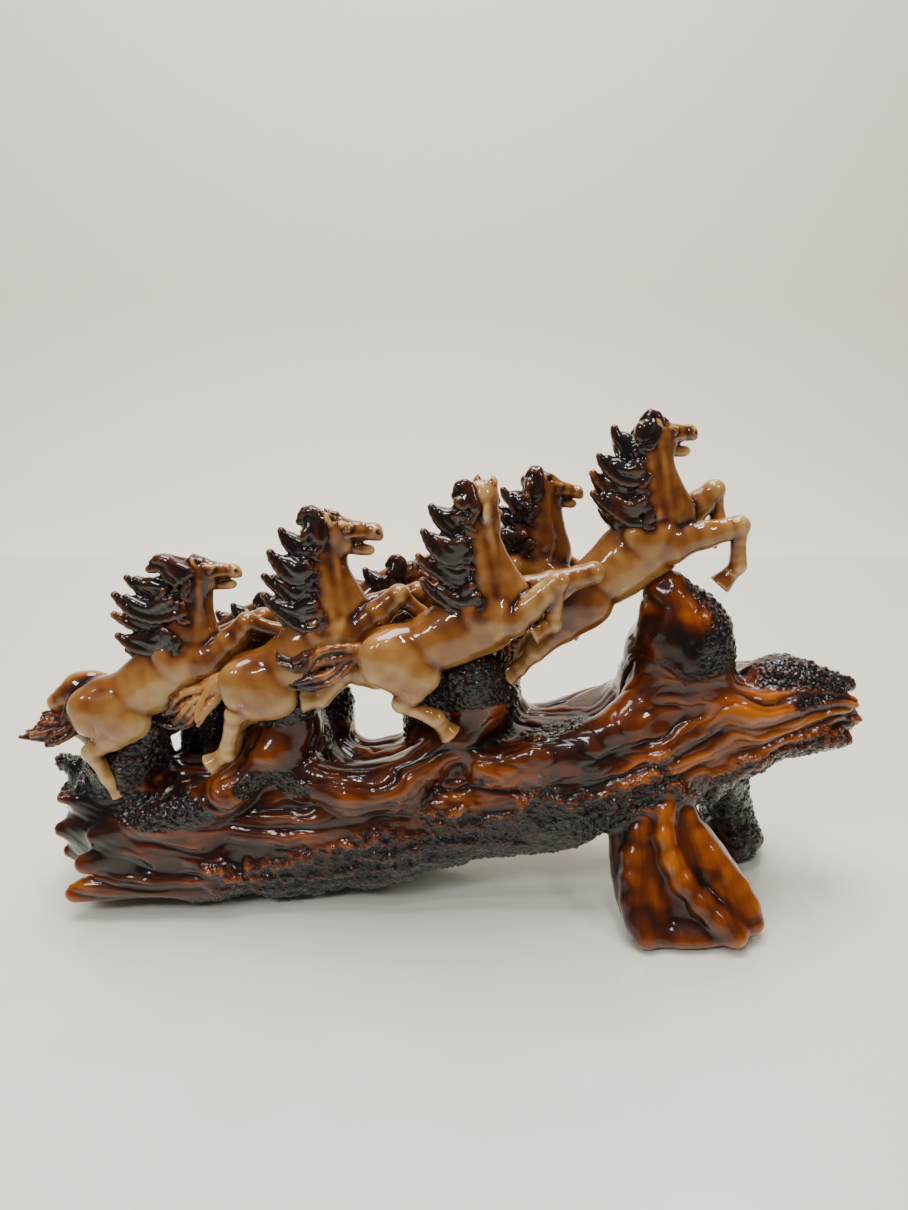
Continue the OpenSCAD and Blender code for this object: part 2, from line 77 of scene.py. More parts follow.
# Each limb is a walk of [angle above the horizontal, length] steps from the chest or the hip. The CAD part
# has the same poses, but for the far hind legs of horses 1 and 4
POSES = {
    1: dict(hip=(-219, -22, 141), turn=6, lean=29, trunk=64,
            neck=[(84, 10), (80, 23), (75, 22)], head=(0, 22), head_turn=0, gape=14,
            near_fore=[(-5, 12), (33, 11), (48, 25), (-19, 20), (-60, 10)],
            far_fore=[(5, 12), (25, 12), (30, 26), (-30, 20), (-70, 10)],
            near_hind=[(-27, 19), (-142, 32), (-67, 20), (-64, 12)],
            far_hind=[(165, 17), (-158, 15), (-62, 22), (-44, 12)]),
    2: dict(hip=(-123, -30, 162), turn=6, lean=30, trunk=63,
            neck=[(88, 10), (101, 26), (84, 25)], head=(-3, 26), head_turn=0, gape=18,
            near_fore=[(-14, 8), (40, 12), (42, 25), (-43, 21), (-80, 10)],
            far_fore=[(0, 10), (35, 14), (20, 28), (-60, 20), (-100, 10)],
            near_hind=[(-31, 17), (-158, 27), (-106, 27), (-146, 12)],
            far_hind=[(-60, 18), (-140, 28), (-100, 24), (-90, 12)]),
    3: dict(hip=(-37, -40, 183), turn=6, lean=23, trunk=64,
            neck=[(77, 8), (104, 29), (90, 32)], head=(-38, 26), head_turn=66, gape=0,
            near_fore=[(-40, 5), (-2, 8), (42, 34), (-95, 25), (-154, 12)],
            far_fore=[(2, 15), (42, 12), (14, 40), (-147, 20), (-139, 10)],
            near_hind=[(-35, 19), (-121, 20), (-29, 23), (-51, 13)],
            far_hind=[(-130, 17), (-175, 15), (-134, 24), (-175, 11)]),
    4: dict(hip=(67, -8, 205), turn=4, lean=37, trunk=68,
            neck=[(82, 14), (102, 23), (92, 23)], head=(1, 24), head_turn=18, gape=20,
            near_fore=[(-25, 9), (22, 8), (13, 33), (-86, 25), (-130, 14)],
            far_fore=[(21, 19), (40, 9), (44, 17), (-77, 20), (-112, 14)],
            near_hind=[(1, 16), (-138, 46), (-133, 14), (-140, 8)],
            far_hind=[(-4, 17), (-141, 42), (-137, 14), (-142, 8)]),
    5: dict(hip=(4, 32, 182), turn=0, lean=33, trunk=60,
            neck=[(75, 10), (88, 22), (88, 20)], head=(-8, 21), head_turn=0, gape=14,
            near_fore=[(-30, 9), (-15, 9), (-35, 24), (-110, 18), (-140, 9)],
            far_fore=[(-20, 9), (-5, 9), (-25, 24), (-100, 18), (-130, 9)],
            near_hind=[(-40, 17), (-125, 26), (-70, 22), (-60, 11)],
            far_hind=[(-100, 17), (-150, 24), (-100, 22), (-120, 11)]),
    6: dict(hip=(-112, 36, 142), turn=0, lean=28, trunk=60,
            neck=[(60, 10), (50, 20), (40, 20)], head=(-20, 21), head_turn=0, gape=8,
            near_fore=[(-40, 9), (-25, 9), (-35, 22), (-110, 18), (-140, 9)],
            far_fore=[(-30, 9), (-10, 9), (-15, 24), (-100, 18), (-130, 9)],
            near_hind=[(-45, 17), (-130, 24), (-75, 22), (-60, 11)],
            far_hind=[(-110, 17), (-155, 22), (-110, 20), (-130, 11)]),
    7: dict(hip=(-202, 36, 124), turn=0, lean=25, trunk=58,
            neck=[(55, 10), (45, 20), (35, 18)], head=(-10, 21), head_turn=0, gape=8,
            near_fore=[(-40, 9), (-25, 9), (-30, 22), (-110, 18), (-140, 9)],
            far_fore=[(-30, 9), (-10, 9), (-15, 24), (-95, 18), (-130, 9)],
            near_hind=[(-45, 17), (-125, 22), (-80, 20), (-60, 11)],
            far_hind=[(-120, 17), (-165, 22), (-140, 20), (-160, 11)]),
}

# ---------------------------------------------------------------- clay: signed-distance fields on a grid

FAR_AWAY = 7.0      # the field's value away from the clay
MARGIN = 2.5        # how far past a shape and its blend the field is worked out


def unit(a):
    return a / np.linalg.norm(a)


def heading(angle):
    a = math.radians(angle)
    return np.array([math.cos(a), 0.0, math.sin(a)])


def walk(start, steps):
    """The joints of a limb."""
    points = [np.array(start, float)]
    for angle, length in steps:
        points.append(points[-1] + length * heading(angle))
    return points


def along(points, s):
    """The place s points along a limb, such as 1.5 between its second and third."""
    i = min(int(s), len(points) - 2)
    return points[i] * (1 - s + i) + points[i + 1] * (s - i)


def cone(a, b, ra, rb, flat=1.0):
    """A round-ended cone from a to b. flat over 1 makes it thinner across Y."""
    a, b = np.array(a, float), np.array(b, float)

    def field(x, y, z):
        dx, dy, dz = x - a[0], (y - a[1]) * flat, z - a[2]
        bx, by, bz = b[0] - a[0], (b[1] - a[1]) * flat, b[2] - a[2]
        t = np.clip((dx * bx + dy * by + dz * bz) / max(bx * bx + by * by + bz * bz, 1e-6), 0, 1)
        return np.sqrt((dx - t * bx) ** 2 + (dy - t * by) ** 2 + (dz - t * bz) ** 2) - (ra + t * (rb - ra))
    r = max(ra, rb)
    return field, np.minimum(a, b) - r, np.maximum(a, b) + r


def egg(centre, radii, tilt=0.0):
    """An ellipsoid, tilted about Y."""
    c, r = np.array(centre, float), np.array(radii, float)
    ct, st = math.cos(math.radians(tilt)), math.sin(math.radians(tilt))

    def field(x, y, z):
        u, w = x - c[0], z - c[2]
        u, v, w = u * ct + w * st, y - c[1], w * ct - u * st
        near = np.sqrt((u / r[0]) ** 2 + (v / r[1]) ** 2 + (w / r[2]) ** 2) + 1e-6
        slope = np.sqrt((u / r[0] ** 2) ** 2 + (v / r[1] ** 2) ** 2 + (w / r[2] ** 2) ** 2) + 1e-6
        return near * (near - 1) / slope
    return field, c - r.max(), c + r.max()


def hoof(a, b, ra, rb):
    """A truncated cone with a flat sole at b."""
    a, b = np.array(a, float), np.array(b, float)
    length = np.linalg.norm(b - a)
    d = (b - a) / length

    def field(x, y, z):
        dx, dy, dz = x - a[0], y - a[1], z - a[2]
        t = dx * d[0] + dy * d[1] + dz * d[2]
        side = np.sqrt(np.maximum(dx * dx + dy * dy + dz * dz - t * t, 0))
        r = ra + (rb - ra) * np.clip(t / length, 0, 1)
        return np.maximum(np.maximum(side - r, -t - 1.0), t - length)
    r = max(ra, rb) + 1
    return field, np.minimum(a, b) - r, np.maximum(a, b) + r


class Clay:
    """A grid from lo to hi of cell h that shapes are put on and carved from with soft joins of width k."""

    def __init__(self, lo, hi, h):
        self.lo, self.h = np.array(lo, float), h
        n = np.ceil((np.array(hi) - self.lo) / h).astype(int) + 1
        self.f = np.full(n, FAR_AWAY, np.float32)
        self.axes = [(self.lo[i] + h * np.arange(n[i])).astype(np.float32) for i in range(3)]

    def _window(self, lo, hi, pad):
        cut = []
        for i in range(3):
            i0 = int(np.clip((lo[i] - pad - self.lo[i]) / self.h, 0, self.f.shape[i]))
            i1 = int(np.clip((hi[i] + pad - self.lo[i]) / self.h + 2, 0, self.f.shape[i]))
            if i1 <= i0:
                return None, None
            cut.append(slice(i0, i1))
        x, y, z = (self.axes[i][cut[i]] for i in range(3))
        return tuple(cut), (x[:, None, None], y[None, :, None], z[None, None, :])

    def put(self, *shapes, k=3.0, frame=None):
        """Blends shapes in. frame is (origin, 3x3 rows of axes) for shapes given in a turned frame."""
        for shape in shapes:
            self._apply(shape, k, frame, 1)

    def carve(self, *shapes, k=1.0, frame=None):
        for shape in shapes:
            self._apply(shape, k, frame, -1)

    def _apply(self, shape, k, frame, sign):
        field, lo, hi = shape
        if frame is not None:
            o, axes = frame
            mid, half = (lo + hi) / 2, np.abs((hi - lo) / 2)
            c, e = o + axes.T @ mid, np.abs(axes.T) @ half
            lo, hi = c - e, c + e
        cut, p = self._window(lo, hi, k + MARGIN)
        if cut is None:
            return
        if frame is not None:
            x, y, z = (p[i] - np.float32(o[i]) for i in range(3))
            p = tuple(x * np.float32(r[0]) + y * np.float32(r[1]) + z * np.float32(r[2]) for r in axes)
        d = field(*p).astype(np.float32)
        old = self.f[cut]
        if sign > 0:
            blend = np.maximum(k - np.abs(old - d), 0)
            self.f[cut] = np.minimum(old, d) - blend * blend / (4 * max(k, 1e-3))
        else:
            blend = np.maximum(k - np.abs(old + d), 0)
            self.f[cut] = np.maximum(old, -d) + blend * blend / (4 * max(k, 1e-3))

    def mesh(self):
        grid = openvdb.FloatGrid(FAR_AWAY)
        grid.copyFromArray(self.f)
        grid.transform = openvdb.createLinearTransform(
            [[self.h, 0, 0, 0], [0, self.h, 0, 0], [0, 0, self.h, 0], [*self.lo, 1]])
        points, quads = grid.convertToQuads(isovalue=0.0)
        return np.array(points, np.float64), np.array(quads, np.int64)


# ---------------------------------------------------------------- mesh tools and noise

def normals_of(v, q):
    """Vertex normals of a quad mesh."""
    d1, d2 = v[q[:, 2]] - v[q[:, 0]], v[q[:, 3]] - v[q[:, 1]]
    face = np.cross(d1, d2)
    out = np.stack([np.bincount(q.ravel(), np.repeat(face[:, i], 4), len(v)) for i in range(3)], 1)
    return out / np.maximum(np.linalg.norm(out, axis=1, keepdims=True), 1e-9)


def spread_over(values, q, rounds, n):
    """Averages a per-vertex quantity with its neighbours, again and again."""
    a = np.concatenate([q[:, 0], q[:, 1], q[:, 2], q[:, 3]])
    b = np.concatenate([q[:, 1], q[:, 2], q[:, 3], q[:, 0]])
    count = np.maximum(np.bincount(a, minlength=n) + np.bincount(b, minlength=n), 1)
    flat = values.ndim == 1
    v = values[:, None] if flat else values
    for _ in range(rounds):
        v = np.stack([(np.bincount(a, v[b, i], n) + np.bincount(b, v[a, i], n)) / count
                      for i in range(v.shape[1])], 1)
    return v[:, 0] if flat else v


def smooth(v, q, rounds, amount=0.5):
    for _ in range(rounds):
        v = v + amount * (spread_over(v, q, 1, len(v)) - v)
    return v


def hollowness(v, q, nrm, rounds):
    """How far each vertex lies below the average of its surroundings, in mm."""
    return ((spread_over(v, q, rounds, len(v)) - v) * nrm).sum(1)


def hashed(i, j, k, seed):
    """A number from 0 to 1 for each cell of a lattice."""
    h = (i * 374761393 + j * 668265263 + k * 2147483647 + seed * 1274126177) & 0xFFFFFFFF
    h = ((h ^ (h >> 13)) * 1274126177) & 0xFFFFFFFF
    return ((h ^ (h >> 16)) & 0xFFFF) / 65535.0


def noise(p, seed):
    """Smooth value noise from 0 to 1 on points already scaled to its unit cell."""
    base = np.floor(p).astype(np.int64)
    f = p - base
    f = f * f * f * (f * (f * 6 - 15) + 10)
    out = np.zeros(len(p))
    for corner in np.ndindex(2, 2, 2):
        a, b, c = (f[:, i] if corner[i] else 1 - f[:, i] for i in range(3))
        out += a * b * c * hashed(*(base + corner).T, seed)
    return out


def layered(p, octaves, seed):
    """Noise of several scales, from 0 to 1."""
    total, weight, amp = 0.0, 0.0, 1.0
    for i in range(octaves):
        total = total + amp * noise(p * 2.03 ** i, seed + i)
        weight += amp
        amp *= 0.5
    return total / weight


def pebbled(p, seed):
    """Rounded pebbles, 1 at a pebble's middle and 0 in the gaps between them."""
    base = np.floor(p).astype(np.int64)
    best, second = np.full(len(p), 9.0), np.full(len(p), 9.0)
    for offset in np.ndindex(3, 3, 3):
        c = base + offset - 1
        spot = np.stack([hashed(*c.T, seed + s) for s in (1, 2, 3)], 1)
        d = np.linalg.norm(c + spot - p, axis=1)
        second = np.minimum(second, np.maximum(best, d))
        best = np.minimum(best, d)
    return np.clip((second - best) * 1.6, 0, 1) ** 0.6


def depth(v, q, nrm, rounds, full):
    """Hollowness from -1 on a crest to 1 in a hollow, where full is the depth in mm that counts as 1."""
    return np.clip(hollowness(v, q, nrm, rounds) / full, -1, 1)


def swing(p, octaves, seed):
    """Layered noise from -0.5 to 0.5."""
    return layered(p, octaves, seed) - 0.5


def step(x, a, b):
    """0 below a, 1 above b and smooth between them."""
    t = np.clip((x - a) / (b - a), 0, 1)
    return t * t * (3 - 2 * t)


# ---------------------------------------------------------------- one horse

THROATS = {3: 8, 4: 6}      # how far the throat stands out, where it isn't USUAL_THROAT
USUAL_THROAT = 3
FACE = 24.5                 # the head's length from the poll that its shapes are drawn for
JAW_JOINT = (2, -5)         # in the head's own frame: along the face, and above it
DOCK = (-14, 8)             # where the tail grows, along the spine and above it
GAPE_SHOWN = 0.7            # how much of the pose's gape the jaw opens

FORE = [(2, 9.4, 1.25), (2.35, 8.8, 1.2), (2.75, 7.0, 1.15), (3, 6.7, 1.1), (3.3, 4.9, 1.1), (3.8, 4.6, 1.05),
        (4, 5.3, 1.1), (4.45, 4.4, 1.05)]       # place along a foreleg, radius, thinness across Y
HIND = [(1.5, 9.2, 1.3), (1.85, 6.2, 1.2), (2, 6.2, 1.15), (2.3, 4.9, 1.1), (2.8, 4.7, 1.05), (3, 5.4, 1.1),
        (3.45, 4.5, 1.05)]


def out_of_bend(a, b):
    """Which way a joint points, given the directions from it to its neighbours."""
    out = -(unit(a) + unit(b))
    return out / max(np.linalg.norm(out), 1e-6)


def leg_clay(clay, name, leg, spine, lean):
    side = NEAR if name.startswith("near") else FAR
    if "fore" in name:
        clay.put(egg((leg[0] + spine(52, 2, side * 10)) / 2, (11, 7.5, 17), lean + 20), k=2.5)
        clay.put(cone(leg[0], leg[1], 13, 11.4, 1.5), k=2.5)
        clay.put(cone(leg[1], leg[2], 11.4, 9.6, 1.25), k=2.5)
        stations, knee, joint = FORE, 3, 4
    else:
        thigh = leg[1] - leg[0]
        tilt = math.degrees(math.atan2(thigh[2], thigh[0]))
        clay.put(egg((leg[0] * 0.5 + leg[1] * 0.5), (19.5, 9.6, 17), tilt), k=2.2)
        clay.put(cone(leg[1], along(leg, 1.5), 13, 9.6, 1.4), k=3)
        clay.put(cone(spine(-10, -3, side * 8.5), along(leg, 1.45), 9, 7, 1.25), k=3)
        stations, knee, joint = HIND, 2, 3
    for (s0, r0, f0), (s1, r1, f1) in zip(stations, stations[1:]):
        clay.put(cone(along(leg, s0), along(leg, s1), r0, r1, (f0 + f1) / 2), k=1.6)
    bend = along(leg, knee)
    if "hind" in name:     # the point of the hock and its tendon
        back = out_of_bend(along(leg, 1.6) - bend, along(leg, 2.4) - bend)
        clay.put(cone(bend, bend + back * 3.4, 3.6, 2.2), k=1.6)
        clay.put(cone(bend + back * 3.4, along(leg, 1.5) + back * 4, 1.8, 2.4), k=2)
    else:
        clay.put(egg(bend, (6.8, 5.8, 6.5)), k=1.2)
    back = out_of_bend(along(leg, joint - 0.4) - leg[joint], leg[-1] - leg[joint])
    clay.put(cone(leg[joint], leg[joint] + back * 1.6, 3.6, 2.4), k=1.5)
    tip = leg[-1]
    way = unit(tip - leg[-2])
    top = tip - way * 7.0
    clay.put(hoof(top, tip + way * 1.5, 4.7, 7.2), k=0.7)
    clay.put(cone(top - way * 0.3, top + way * 0.3, 5.1, 5.1), k=0.6)


def head_clay(clay, pose, poll):
    """The head, in its own frame: +X along the face from the poll. Returns that frame."""
    pitch, turn = math.radians(pose["head"][0]), math.radians(pose["head_turn"])
    ax = np.array([math.cos(pitch) * math.cos(turn), math.cos(pitch) * math.sin(turn), math.sin(pitch)])
    ay = np.array([-math.sin(turn), math.cos(turn), 0.0])
    fr = (poll, np.stack([ax, ay, np.cross(ax, ay)]))
    s = pose["head"][1] / FACE
    g = math.radians(pose["gape"] * GAPE_SHOWN)
    jx, jz = JAW_JOINT

    def jaw(x, y, z):
        """A place on the lower jaw, once it is turned down about its joint."""
        x, z = x - jx, z - jz
        cg, sg = math.cos(g), math.sin(g)
        return (jx + x * cg + z * sg) * s, y * s, (jz - x * sg + z * cg) * s

    def at(x, y, z):
        return np.array([x, y, z]) * s

    def put(*shapes, k):
        clay.put(*shapes, k=k, frame=fr)

    def carve(*shapes, k):
        clay.carve(*shapes, k=k, frame=fr)
    put(egg(at(1.5, 0, 0.4), at(9.2, 7.0, 8.6)), k=3)
    put(cone(at(4, 0, 0.4), at(14, 0, 0), 7.4 * s, 5.6 * s, 1.25),
        cone(at(14, 0, 0), at(21.5, 0, -0.4), 5.6 * s, 4.8 * s, 1.2), k=2)
    for side in (NEAR, FAR):        # cheek, cheekbone and brow
        put(egg(at(3.6, side * 3.2, -5.4), at(8.4, 3.8, 8.4)), k=1.4)
        put(cone(at(8, side * 5.0, -1), at(17, side * 3.9, -0.6), 1.5 * s, 1.0 * s), k=1.2)
        put(cone(at(5.6, side * 4.9, 5.0), at(10.6, side * 4.7, 4.5), 1.7 * s, 1.2 * s), k=1)
    put(egg(at(22.6, 0, 0.2), at(5.2, 4.7, 5.2)), egg(at(25.4, 0, -2.2), at(3.2, 3.8, 3.0)), k=1.4)
    put(cone(jaw(4, 0, -7.2), jaw(17, 0, -6.6), 5.0 * s, 3.8 * s, 1.1),
        egg(jaw(20.2, 0, -6.2), at(4.6, 3.9, 3.5)), k=1.2)
    lips = (np.array(jaw(27, 0, -3.6)) + at(28, 0, -3.6)) / 2
    carve(cone(at(16, 0, -4.2), lips, 0.3 * s, (0.5 + 3.4 * g) * s, 0.55), k=0.5)
    for side in (NEAR, FAR):        # eye, nostril and ear
        put(egg(at(8.4, side * 5.6, 2.6), at(2.4, 1.7, 2.1)), k=0.4)
        put(cone(at(23.8, side * 3.3, 2.0), at(25.6, side * 3.1, 0.2), 2.2 * s, 1.6 * s), k=0.8)
        carve(cone(at(25.0, side * 5.0, 1.4), at(26.9, side * 4.0, 0.0), 1.3 * s, 0.8 * s), k=0.4)
        put(cone(at(-0.5, side * 3.8, 6.0), at(-2.2, side * 4.4, 8.8), 3.0 * s, 2.2 * s),
            cone(at(-2.2, side * 4.4, 8.8), at(-4.0, side * 4.2, 11.6), 2.2 * s, 0.6 * s), k=1)
        carve(cone(at(1.2, side * 5.8, 7.4), at(-1.2, side * 6.0, 10.2), 1.4 * s, 0.7 * s), k=0.5)
    return fr


def horse_clay(number, h):
    """The bare horse in its own frame: hip at the origin, facing +X."""
    pose = POSES[number]
    lean, long = pose["lean"], pose["trunk"] / CHEST
    up, fwd = heading(lean + 90), heading(lean)

    def spine(x, u, y=0.0):
        return x * long * fwd + u * up + np.array([0, y, 0])

    chest = spine(CHEST, 0)
    neck = walk(chest, pose["neck"])
    poll = neck[3]
    face_angle, reach = pose["head"]
    legs = {name: [p + (0, (NEAR if "near" in name else FAR) * SPREAD, 0)
                   for p in walk(chest if "fore" in name else (0, 0, 0), pose[name])]
            for name in ("near_fore", "far_fore", "near_hind", "far_hind")}
    every = np.array([p for leg in legs.values() for p in leg] + [poll, poll + reach * heading(face_angle)])
    clay = Clay(np.minimum(every.min(0), -22) - (10, 15, 10), every.max(0) + (14, 15, 19), h)

    # trunk
    clay.put(egg(spine(40, -3), (28, 16.2, 20.5), lean), egg(spine(58, -3), (19, 15.5, 21), lean),
             egg(spine(20, -3.5), (25, 15.2, 17), lean), egg(spine(0, 1), (19, 14.5, 17), lean), k=6)
    clay.put(*[egg(spine(-5, 2, y), (14, 10, 15.5), lean) for y in (-7, 7)], k=4)
    clay.put(egg(spine(50, 14), (14, 5, 6), lean), k=6)
    clay.put(*[egg(spine(69, -8, y), (10, 8, 11), lean + 20) for y in (-6, 6)], k=2.5)

    # neck, its crest, windpipe and muscles
    n = [along(neck, s) - (dx, 0, 0) for s, dx in ((0, 0), (1, 2.5), (1.5, 4), (2, 4), (2.5, 3), (3, 1.5))]
    r = (21, 20, 17.2, 14.4, 12, 10)
    for i in range(5):
        clay.put(cone(n[i], n[i + 1], r[i], r[i + 1], 1.6), k=5)
    full = THROATS.get(number, USUAL_THROAT)
    clay.put(cone(spine(66, 4), n[1] + (full, 0, -2), 17, 16.5, 1.45),
             cone(n[1] + (full, 0, -2), n[3] + (0.7 * full, 0, -2), 16.5, 12, 1.5), k=4)
    for side in (NEAR, FAR):
        y = np.array([0, side, 0])
        front, rear = n[2] + 5.4 * y + (7, 0, 0), n[1] + 7.2 * y + (-3, 0, 2)
        clay.put(cone(n[5] + 4.6 * y + (2, 0, -4), front, 2.6, 4.6),
                 cone(front, spine(70, 0, side * 8), 4.6, 6), k=1.5)
        clay.put(cone(n[4] + 4.2 * y + (-2, 0, 0), rear, 3.4, 6),
                 cone(rear, spine(48, 4, side * 8), 6, 5.5), k=2.5)

    for name, leg in legs.items():
        leg_clay(clay, name, leg, spine, lean)
    head = head_clay(clay, pose, poll)
    return clay, dict(neck=neck, legs=legs, spine=spine, head=head, reach=reach, lean=lean)


# ---------------------------------------------------------------- hair

# Locks as (place on the neck 0-3, angle, length, curl, sideways): those of the CAD part, their tips hooked up
MANES = {
    1: [(2.9, 166, 30, 14, -2), (2.7, 176, 44, -19, 2), (2.3, 177, 50, -21, -3), (1.8, 181, 49, -17, 2),
        (1.4, 185, 46, -19, -3), (0.9, 187, 40, -16, 2), (2.85, 122, 15, 36, 1)],
    2: [(2.9, 150, 24, 26, -1), (2.6, 160, 32, -20, 2), (2.2, 166, 38, -22, -3), (1.7, 172, 42, -18, 1),
        (1.2, 170, 46, -20, -3), (0.7, 176, 40, -22, 2), (2.95, 112, 14, 40, 0)],
    3: [(2.9, 158, 20, 24, -2), (2.6, 166, 32, -20, 3), (2.2, 168, 38, -22, -3), (1.7, 170, 42, -18, 1),
        (1.2, 170, 44, -20, -3), (0.8, 174, 40, -22, 2), (2.95, 100, 10, 30, 0)],
    4: [(2.9, 126, 19, 30, -1), (2.6, 152, 30, -18, 2), (2.2, 168, 38, -20, -3), (1.8, 172, 42, -22, 1),
        (1.3, 172, 43, -18, -3), (0.9, 176, 38, -20, 2), (2.95, 95, 13, 30, 0)],
    5: [(2.9, 140, 18, 26, 0), (2.5, 162, 30, -18, -2), (2.0, 168, 34, -20, 2), (1.5, 172, 38, -18, -2),
        (1.0, 176, 36, -20, 2), (2.95, 100, 10, 30, 0)],
    6: [(2.9, 150, 20, 20, 0), (2.5, 158, 28, -18, -2), (2.0, 164, 32, -18, 2), (1.5, 168, 32, -18, -2),
        (1.0, 172, 30, -18, 2), (2.95, 110, 9, 30, 0)],
}
MANES[7] = MANES[6]
# Locks as (sideways at the tip, [angle, length] steps). The CAD part has others for horses 1 and 2
TAILS = {
    1: [
        (-5, [(-112, 12), (-150, 11), (-172, 12), (170, 9)]),
        (6, [(-118, 12), (-146, 12), (-168, 11), (176, 8)]), (1, [(-124, 12), (-160, 12), (178, 10)]),
        (-8, [(-108, 13), (-140, 11), (-166, 10)]), (9, [(-130, 12), (-166, 11), (166, 9)])],
    2: [
        (-6, [(-140, 12), (-150, 12), (-118, 10), (-150, 8), (165, 6)]),
        (-2, [(-146, 12), (-136, 12), (-112, 10), (-140, 8)]),
        (4, [(-152, 13), (-158, 13), (-134, 11), (-160, 9)]),
        (8, [(-156, 13), (-166, 12), (-150, 11), (170, 9)]), (-8, [(-136, 10), (-124, 12), (-116, 9)])],
    3: [
        (-4, [(170, 12), (-166, 12), (-130, 12), (-104, 12)]),
        (2, [(176, 14), (-170, 14), (-150, 12), (170, 12)]),
        (6, [(-172, 14), (-158, 16), (178, 16), (130, 10)]),
        (-8, [(-160, 12), (-140, 14), (-165, 14), (170, 8)]), (8, [(-165, 14), (-150, 14), (-175, 14)])],
    4: [
        (-4, [(-150, 12), (-118, 14), (-100, 14), (-130, 10)]),
        (4, [(-156, 12), (-130, 14), (-110, 12), (-150, 10)]), (0, [(-160, 12), (-140, 14), (-120, 14)]),
        (-8, [(-140, 12), (-110, 14), (-95, 12)]), (8, [(-165, 12), (-150, 12), (-130, 12)])],
}
TAILS[5] = TAILS[7] = TAILS[4]
TAILS[6] = TAILS[1]
FORELOCK = 16           # locks shorter than this lie between the ears
HOOK = (-1.3, -0.6, 0.4, 1.9)       # how much of a lock's curl each of its four steps turns by
SHORT, LONG = (0.74, 0.88), (0.92, 1.0)     # how far along a lock its lower and upper strands reach
FORK = 0.14             # how far a lock's tip splits in two


def flowing(points, n):
    """n + 1 points on a smooth curve through the given ones."""
    p = np.array([2 * points[0] - points[1], *points, 2 * points[-1] - points[-2]])
    out = []
    for s in np.linspace(0, len(points) - 1, n + 1):
        i = min(int(s), len(points) - 2)
        t, (a, b, c, d) = s - i, p[i:i + 4]
        out.append(0.5 * (2 * b + (c - a) * t + (2 * a - 5 * b + 4 * c - d) * t * t
                          + (3 * b - a - 3 * c + d) * t ** 3))
    return np.array(out)


def strands(clay, path, spots, width, thick, r, rng, twist=0.0, spread=1.0, k=0.8, tip=0.5):
    """A lock of hair: thick strands side by side that draw together in a flame-like tip. Returns their
    points. spots are (in-plane, sideways) places in the lock's section, from -1 to 1."""
    n = len(path) - 1
    way = np.gradient(path, axis=0)
    way /= np.linalg.norm(way, axis=1, keepdims=True)
    across = np.stack([-way[:, 2], 0 * way[:, 0], way[:, 0]], 1)
    t = np.linspace(0, 1, n + 1)
    body = spread * (1 - t ** 1.5) ** 0.8 + (1 - spread) * np.sin(np.pi * t ** 0.8)
    wave = 1.7 * np.sin(2 * np.pi * t + rng.uniform(-0.5, 0.5)) * np.sin(np.pi * t)
    path = path + across * wave[:, None]
    laid = []
    for a, b in spots:
        phase = rng.uniform(0, 6.28)
        reach = rng.uniform(*(LONG if a > 0 else SHORT))
        fork = FORK * np.sign(a) * t ** 2.4
        a1 = a * np.cos(twist * t) - b * np.sin(twist * t) + 0.26 * np.sin(t * 6 + phase)
        b1 = b * np.cos(twist * t) + a * np.sin(twist * t) + 0.30 * np.cos(t * 7 + phase)
        p = path + across * ((a1 * body + fork) * width)[:, None]
        p[:, 1] += b1 * thick * body
        radii = r * rng.uniform(0.78, 1.25) * (1 - 0.66 * t ** 2.2) + tip * t
        for i in range(max(int(round(n * reach)), 2)):
            clay.put(cone(p[i], p[i + 1], radii[i], radii[i + 1]), k=k)
        laid.append(p)
    return laid


def girth_at(place):
    """The neck's radius where a lock grows."""
    return np.interp(place, (0, 1, 2, 3), (21, 20, 14.6, 10.2))


def full_lock(clay, path, root, lock, rng):
    """One lock of the mane: strands on each side and along the middle, and a curl on each side."""
    place, angle, length, _, _ = lock
    size = 0.72 + length / 130
    girth = girth_at(place)
    back = np.interp(place, (0, 1, 1.5, 2, 2.5, 3), (0, 2.5, 4, 4, 3, 1.5))
    t = np.linspace(0, 1, len(path))
    laid = []
    for side in (NEAR, FAR):
        p = path.copy()
        p[:, 1] += side * (0.52 * girth * (1 - t) ** 1.1)
        p[:, 0] -= (back + 2 + (0.30 + 0.14 * (place - 1.5)) * girth) * (1 - t) ** 1.6
        laid += strands(clay, p, [(-0.95, 0), (-0.4, side * 0.5), (0.2, side * 0.2), (0.95, side * 0.5)],
                        6.6 * size, 1.3, 2.3 * size, rng, side * 0.4, 1.0, 1.9, 0.7)
    p = path.copy()
    p[:, 0] -= (back + 0.62 * girth) * (1 - t) ** 1.6
    laid += strands(clay, p, [(-0.9, 0), (-0.3, 0.5), (0.3, -0.5), (0.9, 0)], 6.0 * size, 2.0,
                    2.2 * size, rng, 0.3, 1.0, 1.6, 0.7)
    full = 7.2 * size * (1 - t) ** 0.8      # the mass of the lock, under its strands
    for i in range(len(p) - 3):
        clay.put(cone(p[i], p[i + 1], full[i], full[i + 1], 1.25), k=2)
    for side in (NEAR, FAR):
        start = root + (-back - 0.26 * girth, side * 0.60 * girth, -1)
        end = walk(start, [(angle + 70 + rng.uniform(-15, 15), 5), (angle + 110, 5), (angle + 150, 4)])
        end = [q + (0, side * 0.3 * i, 0) for i, q in enumerate(end)]
        laid += strands(clay, flowing(end, 6), [(-0.6, 0), (0.6, 0)], 1.9, 0.8, 1.5, rng, 0.4)
    return laid


